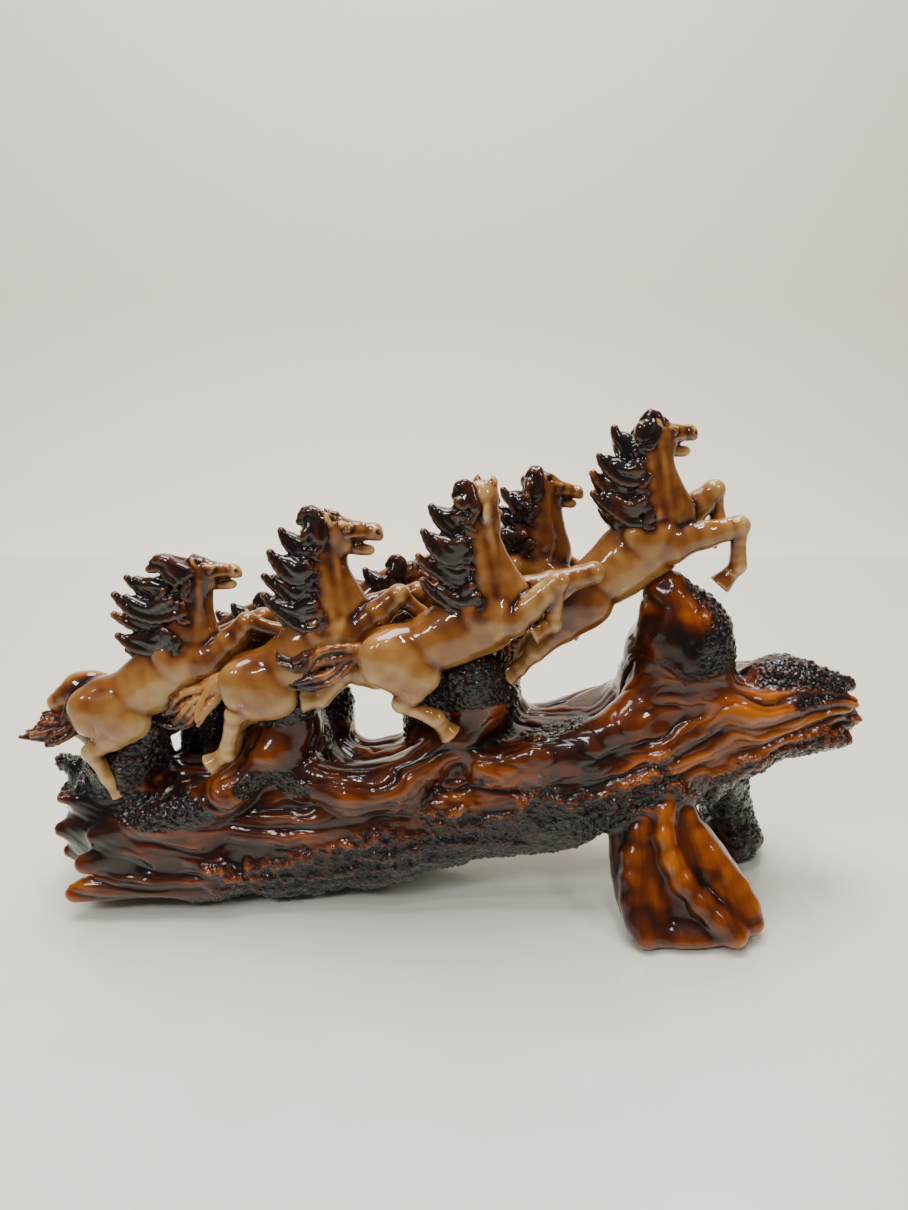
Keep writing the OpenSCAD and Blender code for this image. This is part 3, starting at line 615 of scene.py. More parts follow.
def mane_clay(number, info, h):
    rng = np.random.default_rng(40 + number)
    neck = info["neck"]
    locks = MANES[number]
    roots = [along(neck, place) + (0, sideways, 0) for place, _, _, _, sideways in locks]
    paths = [flowing(walk(root, [(angle + curl * bend, length / 4) for bend in HOOK]), 9)
             for root, (_, angle, length, curl, _) in zip(roots, locks)]
    every = np.concatenate(paths)
    clay = Clay(every.min(0) - 13, every.max(0) + 13, h)
    laid = []
    for path, root, lock in zip(paths, roots, locks):
        if lock[2] < FORELOCK:
            laid += strands(clay, path, [(-0.8, 0), (0, -0.9), (0, 0.9), (0.8, 0)], 3.0, 3.2, 2.1, rng, 0.6)
        else:
            laid += full_lock(clay, path, root, lock, rng)
    long = [(p, lock[0]) for p, lock in zip(paths, locks) if lock[2] >= FORELOCK]
    for (p0, place0), (p1, place1) in zip(long, long[1:]):      # shorter hair that closes their gaps
        girth = girth_at((place0 + place1) / 2)
        p = flowing(list(((p0 + p1) / 2)[:int(len(p0) * 0.74)]), 8)
        t = np.linspace(0, 1, len(p))
        for side in (NEAR, 0, FAR):
            w = p.copy()
            w[:, 1] += side * 0.44 * girth * (1 - t) ** 1.1
            w[:, 0] -= (3 + 0.42 * girth) * (1 - t) ** 1.6
            laid += strands(clay, w, [(-1, 0.2), (-0.5, -0.3), (0, 0.4), (0.5, -0.2), (1, 0.3)],
                            6.0, 1.8, 2.1, rng, 0.4)
    for i in range(6):       # the dense crest under the locks
        a, b = along(neck, 0.7 + 0.37 * i), along(neck, 0.7 + 0.37 * (i + 1))
        w = 13.5 - 1.1 * i
        clay.put(cone(a - (w, 0, 0), b - (w - 1.1, 0, 0), 9.0 - 0.6 * i, 8.4 - 0.6 * i, 1.1), k=1.5)
    return clay, np.concatenate(laid)


def tail_clay(number, info, h):
    rng = np.random.default_rng(70 + number)
    root = info["spine"](*DOCK)
    paths = []
    for off, steps in TAILS[number]:
        p = walk(root, steps)
        paths.append(flowing([q + (0, off * i / (len(p) - 1), 0) for i, q in enumerate(p)], 10))
    every = np.concatenate(paths)
    clay = Clay(every.min(0) - 12, every.max(0) + 12, h)
    laid = []
    spots = [(-1, -0.3), (-0.5, 0.8), (0, -0.2), (0.5, -0.8), (1, 0.3), (0, 0.9), (0, -0.9)]
    for path in paths:
        laid += strands(clay, path, spots, 4.8, 3.6, 2.0, rng, 0.9, 0.55)
    way = unit(paths[2][1] - paths[2][0])
    clay.put(cone(root + way * -3, root + way * 10, 6.5, 6), k=2)
    return clay, np.concatenate(laid)


# ---------------------------------------------------------------- root base, in the measuring frame

LOG = np.array([    # x, middle z, half height, half depth, middle y
    (-262, 40, 8, 12, 4), (-252, 40, 24, 26, 4), (-235, 40, 33, 38, 4), (-205, 40, 38, 43, 3),
    (-170, 40, 40, 45, 3), (-150, 40, 39, 45, 3), (-120, 42, 42, 46, 3), (-95, 45, 43, 46, 3),
    (-60, 48, 42, 46, 4), (-20, 60, 39, 46, 4), (30, 72, 40, 46, 4), (75, 79, 41, 46, 4),
    (115, 98, 35, 46, 4), (155, 111, 32, 44, 4), (190, 121, 30, 39, 3), (212, 128, 27, 30, 2),
    (226, 130, 25, 25, 0), (238, 130, 21, 19, -2), (246, 129, 16, 13, -3), (252, 128, 8, 7, -3)], float)
ROCKS = [
    [(-222, -4, 60, 28), (-214, -7, 92, 19), (-195, -14, 127, 11)],
    [(-112, 2, 76, 28), (-110, -6, 112, 20), (-100, -23, 146, 11)],
    [(2, 4, 112, 30), (8, -6, 140, 24), (8, -30, 166, 13)],
    [(138, 2, 126, 34), (143, -2, 158, 27), (142, -5, 185, 21), (130, -8, 211, 9)],
    [(24, 32, 118, 18), (24, 32, 150, 13), (24, 32, 172, 9)],
    [(-90, 32, 86, 17), (-90, 35, 112, 12), (-92, 36, 134, 9)],
    [(-170, 30, 70, 18), (-168, 34, 96, 13), (-168, 36, 122, 9)],
]
FRONT_FOOT = [      # two lobes and the web between them, each from the log down to the toe, with radii
    [(132, -26, 92, 13), (124, -34, 66, 14), (120, -44, 40, 15), (122, -56, 22, 15), (126, -66, 9, 13)],
    [(138, -26, 92, 13), (141, -34, 66, 14), (155, -42, 46, 16), (168, -50, 26, 17), (174, -60, 10, 16)],
    [(136, -24, 90, 15), (134, -34, 60, 17), (140, -46, 34, 19), (148, -60, 9, 15)],
    [(116, -26, 94, 12), (112, -32, 62, 11), (113, -42, 34, 11), (119, -54, 10, 12)]]
CRESTS = [          # the folds that sweep down over the lobes
    [(135, -40, 92, 4), (131, -51, 69, 5), (138, -62, 46, 6), (155, -71, 26, 7), (174, -77, 10, 8)],
    [(126, -36, 88, 4), (117, -44, 66, 5), (112, -55, 44, 6), (112, -66, 22, 7), (119, -76, 8, 8)],
    [(143, -38, 84, 4), (151, -45, 64, 5), (165, -53, 46, 6), (180, -60, 28, 7), (187, -67, 11, 8)]]
TOE_WEB = ((146, -66, 7), (36, 17, 9))
BACK_FOOT = [(148, -14, 82, 15), (162, -2, 82, 18), (176, 16, 96, 20), (184, 22, 70, 16),
             (194, 26, 40, 12), (200, 26, 12, 16), (188, 32, 5, 18)]
TONGUES = [     # the layered root tips of the left end: from, to, radii, thinness across Y
    ((-166, -38, 70), (-228, -44, 60), 15, 3, 1.5), ((-170, -40, 50), (-236, -46, 40), 14, 3, 1.6),
    ((-160, -40, 30), (-244, -48, 19), 16, 5, 1.5), ((-200, -24, 50), (-258, -26, 52), 16, 3, 1),
    ((-208, 0, 62), (-260, -5, 66), 15, 3, 1), ((-210, -20, 36), (-255, -24, 34), 15, 3, 1),
    ((-205, -22, 72), (-252, -28, 78), 12, 3, 1), ((-232, 6, 74), (-262, 4, 86), 9, 4, 1),
    ((-206, -10, 22), (-257, -14, 24), 17, 3, 1), ((-206, 22, 44), (-252, 26, 52), 18, 4, 1),
    ((-206, 20, 16), (-248, 22, 14), 16, 4, 1)]
SWOOPS = [      # smooth roots that sweep up from the log to the rocks
    [(-172, -34, 70, 8), (-142, -36, 88, 12), (-114, -28, 110, 12), (-98, -22, 124, 8)],
    [(-96, -30, 96, 12), (-66, -36, 90, 12), (-30, -38, 92, 10)],
    [(-60, -34, 88, 12), (-24, -34, 100, 12), (4, -30, 122, 11), (12, -26, 136, 8)],
    [(20, -36, 104, 12), (52, -34, 112, 12), (84, -36, 112, 9)],
    [(70, -30, 112, 12), (104, -26, 128, 13), (126, -20, 150, 10)],
    [(150, -20, 150, 9), (176, -26, 138, 12), (206, -22, 136, 9)]]
BURLS = [((206, -4, 150), 15), ((222, -6, 152), 11), ((236, -10, 148), 8), ((214, 14, 146), 12),
         ((196, -2, 152), 9)]
TIPS = [        # the root tips of the right end: from, to, radii
    ((222, -8, 150), (252, -6, 148), 11, 5), ((216, -16, 137), (252, -15, 138), 13, 4),
    ((220, -10, 126), (257, -8, 128), 13, 4), ((212, -16, 118), (249, -18, 115), 13, 4),
    ((214, -4, 110), (244, -8, 107), 13, 5), ((216, 12, 140), (250, 9, 142), 13, 5),
    ((216, 14, 118), (249, 12, 120), 14, 5)]
PATCHES = [     # pebbled patches on the smooth root: centre, radii
    ((-186, -42, 76), (34, 14, 16)), ((-112, -40, 92), (30, 14, 13)), ((68, -16, 124), (38, 22, 12)),
    ((150, 30, 120), (40, 20, 14)), ((-40, 46, 80), (60, 12, 14)), ((96, 44, 92), (40, 12, 16)),
    ((-200, 42, 48), (40, 14, 20))]
BLENDS = {"front_foot": 5, "left_root": 13, "burl_end": 6, "back_foot": 9}   # width of the join with the log
ROCK_BLEND, SWOOP_BLEND = 20, 9
ROCK_NODES = ["rock_%d" % i for i in range(1, 8)]
BASE_NODES = ["root_trunk", "left_root", "burl_end", "front_foot", "back_foot"] + ROCK_NODES
LEFT_ROOT_TO, BURL_FROM, FEET_TO = -150, 212, 95        # in X, X and Z: where CAD nodes of the base meet
PILLAR = (90, 185)      # the tall rock, from and to in X


def log_at(x):
    return [np.interp(x, LOG[:, 0], LOG[:, i]) for i in (1, 2, 3, 4)]


def log_field(x, y, z):
    zc, h, d, yc = (a.astype(np.float32) for a in log_at(x))
    p = (np.abs((y - yc) / d) ** 3 + np.abs((z - zc) / h) ** 3) ** 0.3333
    return np.maximum((p - 1) * np.minimum(h, d), np.maximum(-262 - x, x - 253))


def chain(points):
    return [cone(a[:3], b[:3], a[3], b[3]) for a, b in zip(points, points[1:])]


def groups():
    """The solid groups of the base by CAD node, as lists of shapes."""
    big = (np.array([-270.0, -60, -5]), np.array([260.0, 65, 190]))
    out = {"log": [(log_field, *big)] + [s for w in SWOOPS for s in chain(w)]}
    out["left_root"] = [cone(*t) for t in TONGUES]
    out["burl_end"] = [egg(c, (r * 1.1, r, r)) for c, r in BURLS] + [cone(*t) for t in TIPS]
    folds = [flowing(np.array(f, float), 7) for f in FRONT_FOOT + CRESTS]
    out["front_foot"] = [s for f in folds for s in chain(f)] + [egg(*TOE_WEB)]
    out["back_foot"] = chain(BACK_FOOT)
    for name, rock in zip(ROCK_NODES, ROCKS):
        out[name] = chain(rock)
    return out


def nearest(shapes, v):
    return np.min([s[0](v[:, 0], v[:, 1], v[:, 2]) for s in shapes], axis=0)


def base_clay(g, h):
    clay = Clay((-275, -92, -3), (268, 62, 230), h)
    log, *swoops = g["log"]
    clay.put(log, k=0.1)
    for name, shapes in g.items():
        if name != "log":
            clay.put(*shapes, k=BLENDS.get(name, ROCK_BLEND))
    clay.put(*swoops, k=SWOOP_BLEND)
    floor = clay.axes[2][None, None, :]
    clay.f = np.maximum(clay.f, -floor)
    return clay


def survey(v, g):
    """What lies at each vertex of the base, from 0 to 1, and its line of grain."""
    a = SimpleNamespace(v=v)
    x, y, z = v.T
    zc, hh, d, yc = log_at(x)
    dist = {name: nearest(shapes, v) for name, shapes in g.items()}
    log, foot, back = dist["log"], dist["front_foot"], dist["back_foot"]
    rock = np.min([dist[name] for name in ROCK_NODES], axis=0)
    a.on_rock = step(log - rock, 0, 12)
    a.on_foot = step(np.minimum(log, rock) - foot, -3, 8)
    on_back = step(np.minimum(np.minimum(log, rock), foot) - back, -3, 8)
    a.around = np.arctan2((z - zc) / hh, -(y - yc) / d)      # 0 at the front, a quarter turn at the top

    # flowing grain: along the log, up the rocks, down the feet
    warp = swing(v / (105, 60, 52), 2, 5)
    fine = swing(v / (24, 16, 13), 2, 9)
    s_log = a.around * 42 / 16 + 3.6 * warp + 0.40 * fine + x / 170
    s_rock = (x * 0.9 + y * 0.45) / 15 + 2.2 * warp + 0.5 * fine
    s_foot = (x - 134 - (80 - z) * 0.22) / (7.0 + (92 - z) * 0.10) + 0.8 * warp
    side = step(a.on_rock, 0.3, 0.9)
    a.s = (s_log * (1 - side) + s_rock * side) * (1 - a.on_foot) + s_foot * a.on_foot
    a.ridge = np.abs(np.sin(np.pi * a.s)) ** 0.7
    a.small = np.abs(np.sin(np.pi * (a.s * 2.3 + 1.6 * fine))) ** 0.7
    a.foot_ridge = np.abs(np.sin(np.pi * s_foot)) ** 0.9

    # which parts are bark, pebbles or smooth root
    a.edge = swing(v / (26, 26, 20), 3, 21)
    a.rise = np.interp(x, (-200, -150, -60, 60, 130, 150), (-0.55, -0.12, 0.36, 0.42, 0.16, -0.22))
    bark = step(a.rise - a.around + 1.1 * a.edge, -0.10, 0.22)
    at_back = step(np.abs(a.around) - 2.2 + 0.9 * a.edge, 0, 0.3) * (z < zc + 0.55 * hh)
    bark = np.maximum(bark, at_back)
    bark *= 1 - step(a.on_foot, 0.3, 0.9)
    bark *= 1 - step(-x, 168, 196) * step(46 - z, -6, 6) * (y < 10)
    a.bark = np.maximum(bark, on_back * step(a.edge + 0.25, 0, 0.2))
    pebbles = step(z - (zc + hh) + 40 * a.edge, 10, 22) * step(a.on_rock, 0.2, 0.6)
    a.pillar = (x > PILLAR[0]) & (x < PILLAR[1])
    pebbles = np.where(a.pillar, pebbles * step(x - 143 + 30 * a.edge, -2, 5), pebbles)
    for c, r in PATCHES:
        near = 1 - np.sqrt((((v - c) / r) ** 2).sum(1)) + 0.9 * a.edge
        pebbles = np.maximum(pebbles, step(near, 0.0, 0.25) * (1 - a.on_foot))
    burl = step(-dist["burl_end"] + np.minimum(log, 4), -4, 2)
    burl = burl * step(x, 186, 200) * step(z - 0.22 * (x - 200), 130, 142)
    a.pebbles = np.maximum(pebbles, burl)
    a.smooth = (1 - a.bark) * (1 - a.pebbles)
    return a


def relief(a):
    """How far each vertex of the base moves along its normal, in mm."""
    v, on_rock, on_foot = a.v, a.on_rock, a.on_foot
    lumps = swing(v / 40.0, 2, 33)
    knobs = swing(v / 17.0, 2, 35)
    a.stones = pebbled(v / (4.2, 4.2, 3.8), 51)
    a.grit = pebbled(v / (3.4, 3.4, 2.6), 77)
    rough = swing(v / 4.2, 3, 88)
    strength = 0.35 + 0.65 * step(layered(v / 34.0, 2, 91), 0.36, 0.62)
    a.strength = (strength * (1 - 0.5 * step(-v[:, 0] - 196, 0, 20))
                  * np.where(a.pillar, 1 - 0.65 * on_rock, 1))
    root_way = ((1 - on_foot) * a.strength * (3.1 * (a.ridge - 0.62) + 1.2 * (a.small - 0.6))
                + on_foot * 0.3 * (a.foot_ridge - 0.6))
    move = ((7.0 * lumps + 4.0 * on_rock * knobs) * (1 - on_foot) + a.smooth * root_way
            + a.bark * (1.5 * (a.grit - 0.5) + 3.6 * rough + 6.0 * knobs + 1.8 * (a.ridge - 0.6) + 3.0)
            + a.pebbles * (2.2 * (a.stones - 0.45) + 1.4 * rough))
    return move * step(v[:, 2], -1, 5)


def base_stain(v, q, nrm, a):
    """0 to 1 at each vertex, amber to near black. The noise stays on the vertices' places before relief."""
    x, y, z = a.v.T
    on_rock, on_foot = a.on_rock, a.on_foot
    pits, wide = depth(v, q, nrm, 5, 0.35), depth(v, q, nrm, 26, 1.6)
    tone = swing(a.v / (40, 40, 26), 3, 61)
    streak = swing(np.stack([a.s * 3.1, x / 40, z / 40], 1), 3, 63)
    glow = step(layered(a.v / (30, 30, 18), 2, 67), 0.46, 0.66)
    stain = (0.64 - 0.18 * a.strength * (1 - on_foot) * (a.ridge - 0.5) + 0.12 * pits + 0.20 * wide
             + 0.36 * tone * (1 - 0.5 * on_foot) + 0.24 * streak * (1 - 0.75 * on_foot) - 0.20 * glow)
    stain += (0.22 * on_rock * (1 - glow) + 0.14 * step(a.around, 0.9, 1.7) - 0.06 * on_foot
              + 0.22 * step(-x - 205, 0, 20) * step(z, 34, 52))
    stain -= 0.10 * step(x, 100, 160) * (1 - on_rock) * step(z, 90, 110)
    lighter = 0.04 + 0.12 * step(140 - x, -6, 10) + 0.2 * step(z, 190, 204)
    stain -= np.where(a.pillar, lighter * on_rock, 0)
    # front foot: painted shade down its left side wall, a touch less stain overall and more in its broad
    # hollows
    stain += on_foot * (0.20 * step(115 + 0.1 * z - x, 0, 10) - 0.02 + 0.16 * wide)
    inner = step(a.rise - a.around + 0.9 * a.edge, 0.0, 0.6)
    granular = 0.50 + 0.40 * inner + 0.24 * pits + 0.20 * wide + 0.4 * tone - 0.34 * (a.grit - 0.5)
    stony = 0.86 + 0.16 * pits + 0.1 * wide + 0.3 * tone - 0.24 * (a.stones - 0.5)
    stain = stain * a.smooth + (1 - a.smooth) * np.where(a.pebbles > a.bark, stony, granular)
    stain += 0.35 * step(14 - z, 0, 12) * a.bark
    return spread_over(stain, q, 1, len(v))


def owners(m, g):
    """The place in BASE_NODES of the node that each face stands for, from the middles of the faces."""
    rocks = np.array([nearest(g[name], m) for name in ROCK_NODES])
    log, front, back = (nearest(g[name], m) for name in ("log", "front_foot", "back_foot"))
    owner = np.where(m[:, 0] < LEFT_ROOT_TO, 1, np.where(m[:, 0] > BURL_FROM, 2, 0))
    owner = np.where(rocks.min(0) < log - 5, 5 + rocks.argmin(0), owner)
    owner = np.where((front < log - 3) & (m[:, 2] < FEET_TO), 3, owner)
    return np.where((back < log - 3) & (back < front) & (m[:, 2] < FEET_TO), 4, owner)


def base_mesh(h):
    g = groups()
    v, q = base_clay(g, h).mesh()
    v = smooth(v, q, 3)
    nrm = normals_of(v, q)
    a = survey(v, g)
    v = v + nrm * relief(a)[:, None]
    v[:, 2] = np.maximum(v[:, 2], 0.0)
    v = smooth(v, q, 1, 0.35)
    nrm = normals_of(v, q)
    data = dict(stain=base_stain(v, q, nrm, a), grit=np.maximum(a.bark, a.pebbles),
                along=np.stack([a.s * 10, a.v[:, 0] * 0.045, a.v[:, 2] * 0.045], 1))
    return v, q, nrm, data, owners(v[q].mean(1), g)


# ---------------------------------------------------------------- materials

BUMP_DEPTH = 0.0006     # m
FILM_BUMP = 0.45        # how much of the relief the lacquer film still shows


def srgb(r, g, b):
    return [((c / 255 + 0.055) / 1.055) ** 2.4 if c > 10 else c / 255 / 12.92 for c in (r, g, b)] + [1.0]


def lacquer(name, ramp, film_ior, grain, bump, streaks=0.0, pits=0.0):
    """Stained resin under clear lacquer. The colour comes from the stain kept on each vertex."""
    m = bpy.data.materials.new(name)
    m.use_nodes = True
    tree = m.node_tree
    link = tree.links.new
    shader = tree.nodes["Principled BSDF"]

    def node(kind, vector=None, **sockets):
        n = tree.nodes.new(kind)
        for key, value in sockets.items():
            n.inputs[key.replace("_", " ")].default_value = value
        if vector is not None:
            link(vector, n.inputs["Vector"])
        return n

    def kept(attribute, output="Fac"):
        n = tree.nodes.new("ShaderNodeAttribute")
        n.attribute_name = attribute
        return n.outputs[output]

    def calc(kind, a, b):
        n = tree.nodes.new("ShaderNodeMath")
        n.operation = kind
        for i, value in enumerate((a, b)):
            if isinstance(value, (int, float)):
                n.inputs[i].default_value = value
            else:
                link(value, n.inputs[i])
        return n.outputs[0]

    def about(source, middle, amount):
        return calc("MULTIPLY", calc("SUBTRACT", source, middle), amount)

    def bumped(height, strength, socket):
        n = node("ShaderNodeBump", Strength=strength, Distance=BUMP_DEPTH)
        link(height, n.inputs["Height"])
        link(n.outputs["Normal"], shader.inputs[socket])

    stain = kept("stain")
    place = tree.nodes.new("ShaderNodeTexCoord").outputs["Object"]
    mottle = node("ShaderNodeTexNoise", place, Scale=70.0, Detail=5.0, Roughness=0.6).outputs["Fac"]
    specks = node("ShaderNodeTexNoise", place, Scale=420.0, Detail=3.0, Roughness=0.6).outputs["Fac"]
    value = calc("ADD", stain, about(mottle, 0.5, 8 * grain))
    value = calc("ADD", value, about(specks, 0.5, 3 * grain))
    height = specks
    if streaks:
        lines = node("ShaderNodeTexNoise", kept("along", "Vector"), Scale=0.55, Detail=4.0, Roughness=0.62,
                     Distortion=0.3).outputs["Fac"]
        value = calc("ADD", value, about(lines, 0.5, streaks))
        height = calc("ADD", calc("MULTIPLY", lines, 0.8), calc("MULTIPLY", height, 0.4))
    if pits:
        gritty = kept("grit")
        cells = node("ShaderNodeTexVoronoi", place, Scale=520.0, Randomness=1.0).outputs["Distance"]
        height = calc("ADD", height, calc("MULTIPLY", calc("MULTIPLY", cells, gritty), pits))
        value = calc("ADD", value, calc("MULTIPLY", about(cells, 0.4, gritty), 0.22))
    colours = tree.nodes.new("ShaderNodeValToRGB")
    colours.color_ramp.interpolation = "LINEAR"
    stops = colours.color_ramp.elements
    while len(stops) < len(ramp):
        stops.new(0.5)
    for stop, (at, colour) in zip(stops, ramp):
        stop.position = at
        stop.color = srgb(*colour)
    link(value, colours.inputs["Fac"])
    link(colours.outputs["Color"], shader.inputs["Base Color"])
    rough = node("ShaderNodeMapRange", To_Min=0.24, To_Max=0.46)
    link(mottle, rough.inputs["Value"])
    link(rough.outputs["Result"], shader.inputs["Roughness"])
    bumped(height, bump, "Normal")
    bumped(height, bump * FILM_BUMP, "Coat Normal")
    shader.inputs["Specular IOR Level"].default_value = 0.1
    shader.inputs["Coat Weight"].default_value = 1.0
    shader.inputs["Coat Roughness"].default_value = 0.03
    shader.inputs["Coat IOR"].default_value = film_ior
    return m


# Stain from 0 to 1, and its colour
COAT = [(0.0, (184, 148, 98)), (0.22, (158, 115, 62)), (0.42, (130, 80, 32)), (0.60, (98, 49, 14)),
        (0.78, (54, 23, 9)), (1.0, (20, 10, 9))]
# The coat of the back row: the same coat darker all over, painted shade
PAINTED_SHADE_COAT = [(0.0, (160, 112, 58)), (0.25, (126, 74, 26)), (0.5, (86, 42, 14)), (0.75, (46, 20, 11)),
             (1.0, (16, 9, 9))]
HAIR = [(0.0, (172, 126, 72)), (0.22, (122, 62, 20)), (0.45, (66, 27, 11)), (0.72, (28, 13, 10)),
        (1.0, (9, 7, 8))]
ROOT = [(0.0, (168, 94, 15)), (0.22, (130, 62, 8)), (0.42, (88, 35, 6)), (0.62, (50, 17, 6)),
        (0.82, (23, 10, 7)), (1.0, (9, 6, 7))]

MATERIALS = {
    "lacquered_coat": lacquer("lacquered_coat", COAT, 1.52, 0.014, 0.06),
    # the back row's coat, its darker ramp is painted shade
    "lacquered_dark_coat": lacquer("lacquered_dark_coat", PAINTED_SHADE_COAT, 1.5, 0.015, 0.08),
    "lacquered_hair": lacquer("lacquered_hair", HAIR, 1.45, 0.015, 0.12),
}
for slot_name, film_ior in (("lacquered_root", 1.41), ("lacquered_bark", 1.4), ("lacquered_rock", 1.38)):
    MATERIALS[slot_name] = lacquer(slot_name, ROOT, film_ior, 0.02, 0.6, 0.22, 3.4)
BASE_SLOTS = {"root_trunk": "lacquered_root", "left_root": "lacquered_root", "front_foot": "lacquered_root",
              "burl_end": "lacquered_bark", "back_foot": "lacquered_bark"}       # the rest are rocks


# ---------------------------------------------------------------- pieces

def add_piece(node, slot, v, q, nrm, data):
    """A mesh object in metres, standing for one CAD node. Its normals are those of the whole skin."""
    used, back = np.unique(q, return_inverse=True)
    q = back.reshape(-1, 4)
    mesh = bpy.data.meshes.new(node)
    mesh.vertices.add(len(used))
    mesh.vertices.foreach_set("co", (v[used] / MM_PER_M).astype(np.float32).ravel())
    mesh.loops.add(q.size)
    mesh.loops.foreach_set("vertex_index", q.astype(np.int32).ravel())
    mesh.polygons.add(len(q))
    mesh.polygons.foreach_set("loop_start", np.arange(0, q.size, 4, dtype=np.int32))
    mesh.update(calc_edges=True)
    mesh.validate()
    mesh.shade_smooth()
    for name, values in data.items():
        kind, key = ("FLOAT", "value") if values.ndim == 1 else ("FLOAT_VECTOR", "vector")
        layer = mesh.attributes.new(name, kind, "POINT")
        layer.data.foreach_set(key, values[used].astype(np.float32).ravel())
    mesh.normals_split_custom_set_from_vertices(nrm[used])
    mesh.materials.append(MATERIALS[slot])
    piece = bpy.data.objects.new(node + "_skin", mesh)
    bpy.context.scene.collection.objects.link(piece)
    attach(piece, "root")
    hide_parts(node)


def to_part(pose, v, nrm):
    """From a horse's own frame to the part's frame."""
    a = math.radians(pose["turn"])
    turned = np.array([[math.cos(a), -math.sin(a), 0], [math.sin(a), math.cos(a), 0], [0, 0, 1]])
    return v @ turned.T + pose["hip"] - DATUM, nrm @ turned.T


def distance_to(v, points, reach):
    """Distance from each vertex to the nearest of some points, up to reach."""
    out = np.full(len(v), reach)
    near = ((v > points.min(0) - reach) & (v < points.max(0) + reach)).all(1)
    where = np.nonzero(near)[0]
    for i in range(0, len(where), 20000):       # a batch at a time, to spare memory
        w = where[i:i + 20000]
        d2 = ((v[w, None, :] - points[None, :, :]) ** 2).sum(2)
        out[w] = np.minimum(np.sqrt(d2.min(1)), reach)
    return out


def beside(v, start, way, scale=1.0):
    """How far along a line each vertex lies, and how far off it."""
    d = v - start
    t = d @ way / scale
    return t, np.linalg.norm(d - t[:, None] * way, axis=1)


LEADER = 4                          # the rearing horse, deeper in colour towards its hind legs
BACK_ROW_PAINTED_SHADE = {6: 0.16, 7: 0.20}         # painted shade on the coats at the back of the back row
DARK_FORELEGS = (1, 2)
PALE_TAILS = {1: 0.06, 2: 0.62, 3: 0.42}       # less stain at the tail's root, where it isn't 0.10


def head_stain(v, info):
    o, axes = info["head"]
    local = (v - o) @ axes.T * (FACE / info["reach"])

    def off(*place):
        return np.linalg.norm(local - place, axis=1)
    in_head = step(12 - off(11, 0, 0) * 0.62, 0, 3)
    eye = np.minimum(off(8.6, -6.2, 2.6), off(8.6, 6.2, 2.6))
    ear = step(8 - off(-2, 0, 11), 0, 3)
    return (0.45 * ear * step(local[:, 2] - 6.5, 0, 2) + 0.08 * in_head
            + 0.50 * step(2.9 - eye, 0, 1.4) * in_head + 0.10 * step(local[:, 0] - 21, 0, 5) * in_head)


def leg_stain(number, name, leg, stain, v, nrm):
    """The stain with one leg's hoof and sole worked in, and painted shade on the backs of its joints."""
    fore = "fore" in name
    way = unit(leg[-1] - leg[-2])
    t, r = beside(v, leg[-1], way)
    stain += (0.34 if number == LEADER and fore else 0.13) * ((r < 9) & (t > -8) & (t < 3))
    sole = (r < 8.5) & (t > -2.2) & (t < 3) & ((nrm @ way) > 0.55)
    stain = np.where(sole, 0.95, stain)
    if fore and number in DARK_FORELEGS:
        limb = np.min([cone(a, b, 0, 0)[0](*v.T) for a, b in zip(leg[1:], leg[2:])], axis=0)
        stain += 0.11 * (1 + number) * step(14 - limb, 0, 6)
    bend = 3 if fore else 2
    knee, shin, thigh = leg[bend], leg[bend + 1] - leg[bend], leg[bend] - leg[bend - 1]
    t, r = beside(v, knee, shin, np.linalg.norm(shin) ** 2)
    # painted shade in the bend behind the knee or hock
    behind = -(nrm @ unit(thigh))
    painted_bend_shade = 0.34 * np.clip(behind + 0.15, 0, 1) * step(t, 0, 0.25)
    return stain + np.where((r < 7) & (t > 0.02) & (t < 1.1), painted_bend_shade, 0)


def horse_stain(number, v, q, nrm, info, hair):
    """0 to 1 at each vertex: pale on belly and rump, deeper in hollows, by the hair, along the back and
    down the legs."""
    pits, wide = depth(v, q, nrm, 8, 0.30), depth(v, q, nrm, 60, 1.6)
    u, w = v @ heading(info["lean"] + 90), v @ heading(info["lean"])
    patch = swing(v / 27.0 + number * 7.3, 3, 100 + number)
    cloud = swing(v / 46.0 + number * 3.1, 2, 120 + number)
    fine = swing(v / 6.0, 3, 140 + number)
    trunk = step(74 - w, 0, 18)
    stain = 0.50 + 0.44 * pits + 0.40 * wide + 0.36 * patch + 0.36 * cloud + 0.10 * fine
    stain -= 0.15 * trunk * step(12 - u, 0, 16) + 0.08 * step(16 - w, 0, 22) * step(16 - u, 0, 12)
    stain += 0.20 * step(u - 13, 0, 6) * step(8 - np.abs(v[:, 1]), 0, 6) * trunk
    on_neck = step(v[:, 2] - info["neck"][0][2], 4, 20) * step(w - 44, 0, 12)
    stain += 0.08 * on_neck + 0.16 * on_neck * swing(v / (5, 5, 26), 2, 160) * 2
    stain += 0.36 * step(4.8 - distance_to(v, hair, 12.0), 0, 4.4)
    stain += head_stain(v, info)
    for name, leg in info["legs"].items():
        stain = leg_stain(number, name, leg, stain, v, nrm)
    if number == LEADER:
        stain += 0.30 * step(30 - w, 0, 26)
    # painted shade on the coats at the back of the back row
    stain += BACK_ROW_PAINTED_SHADE.get(number, 0.0)
    return spread_over(np.clip(stain, 0.0, 1), q, 2, len(v))


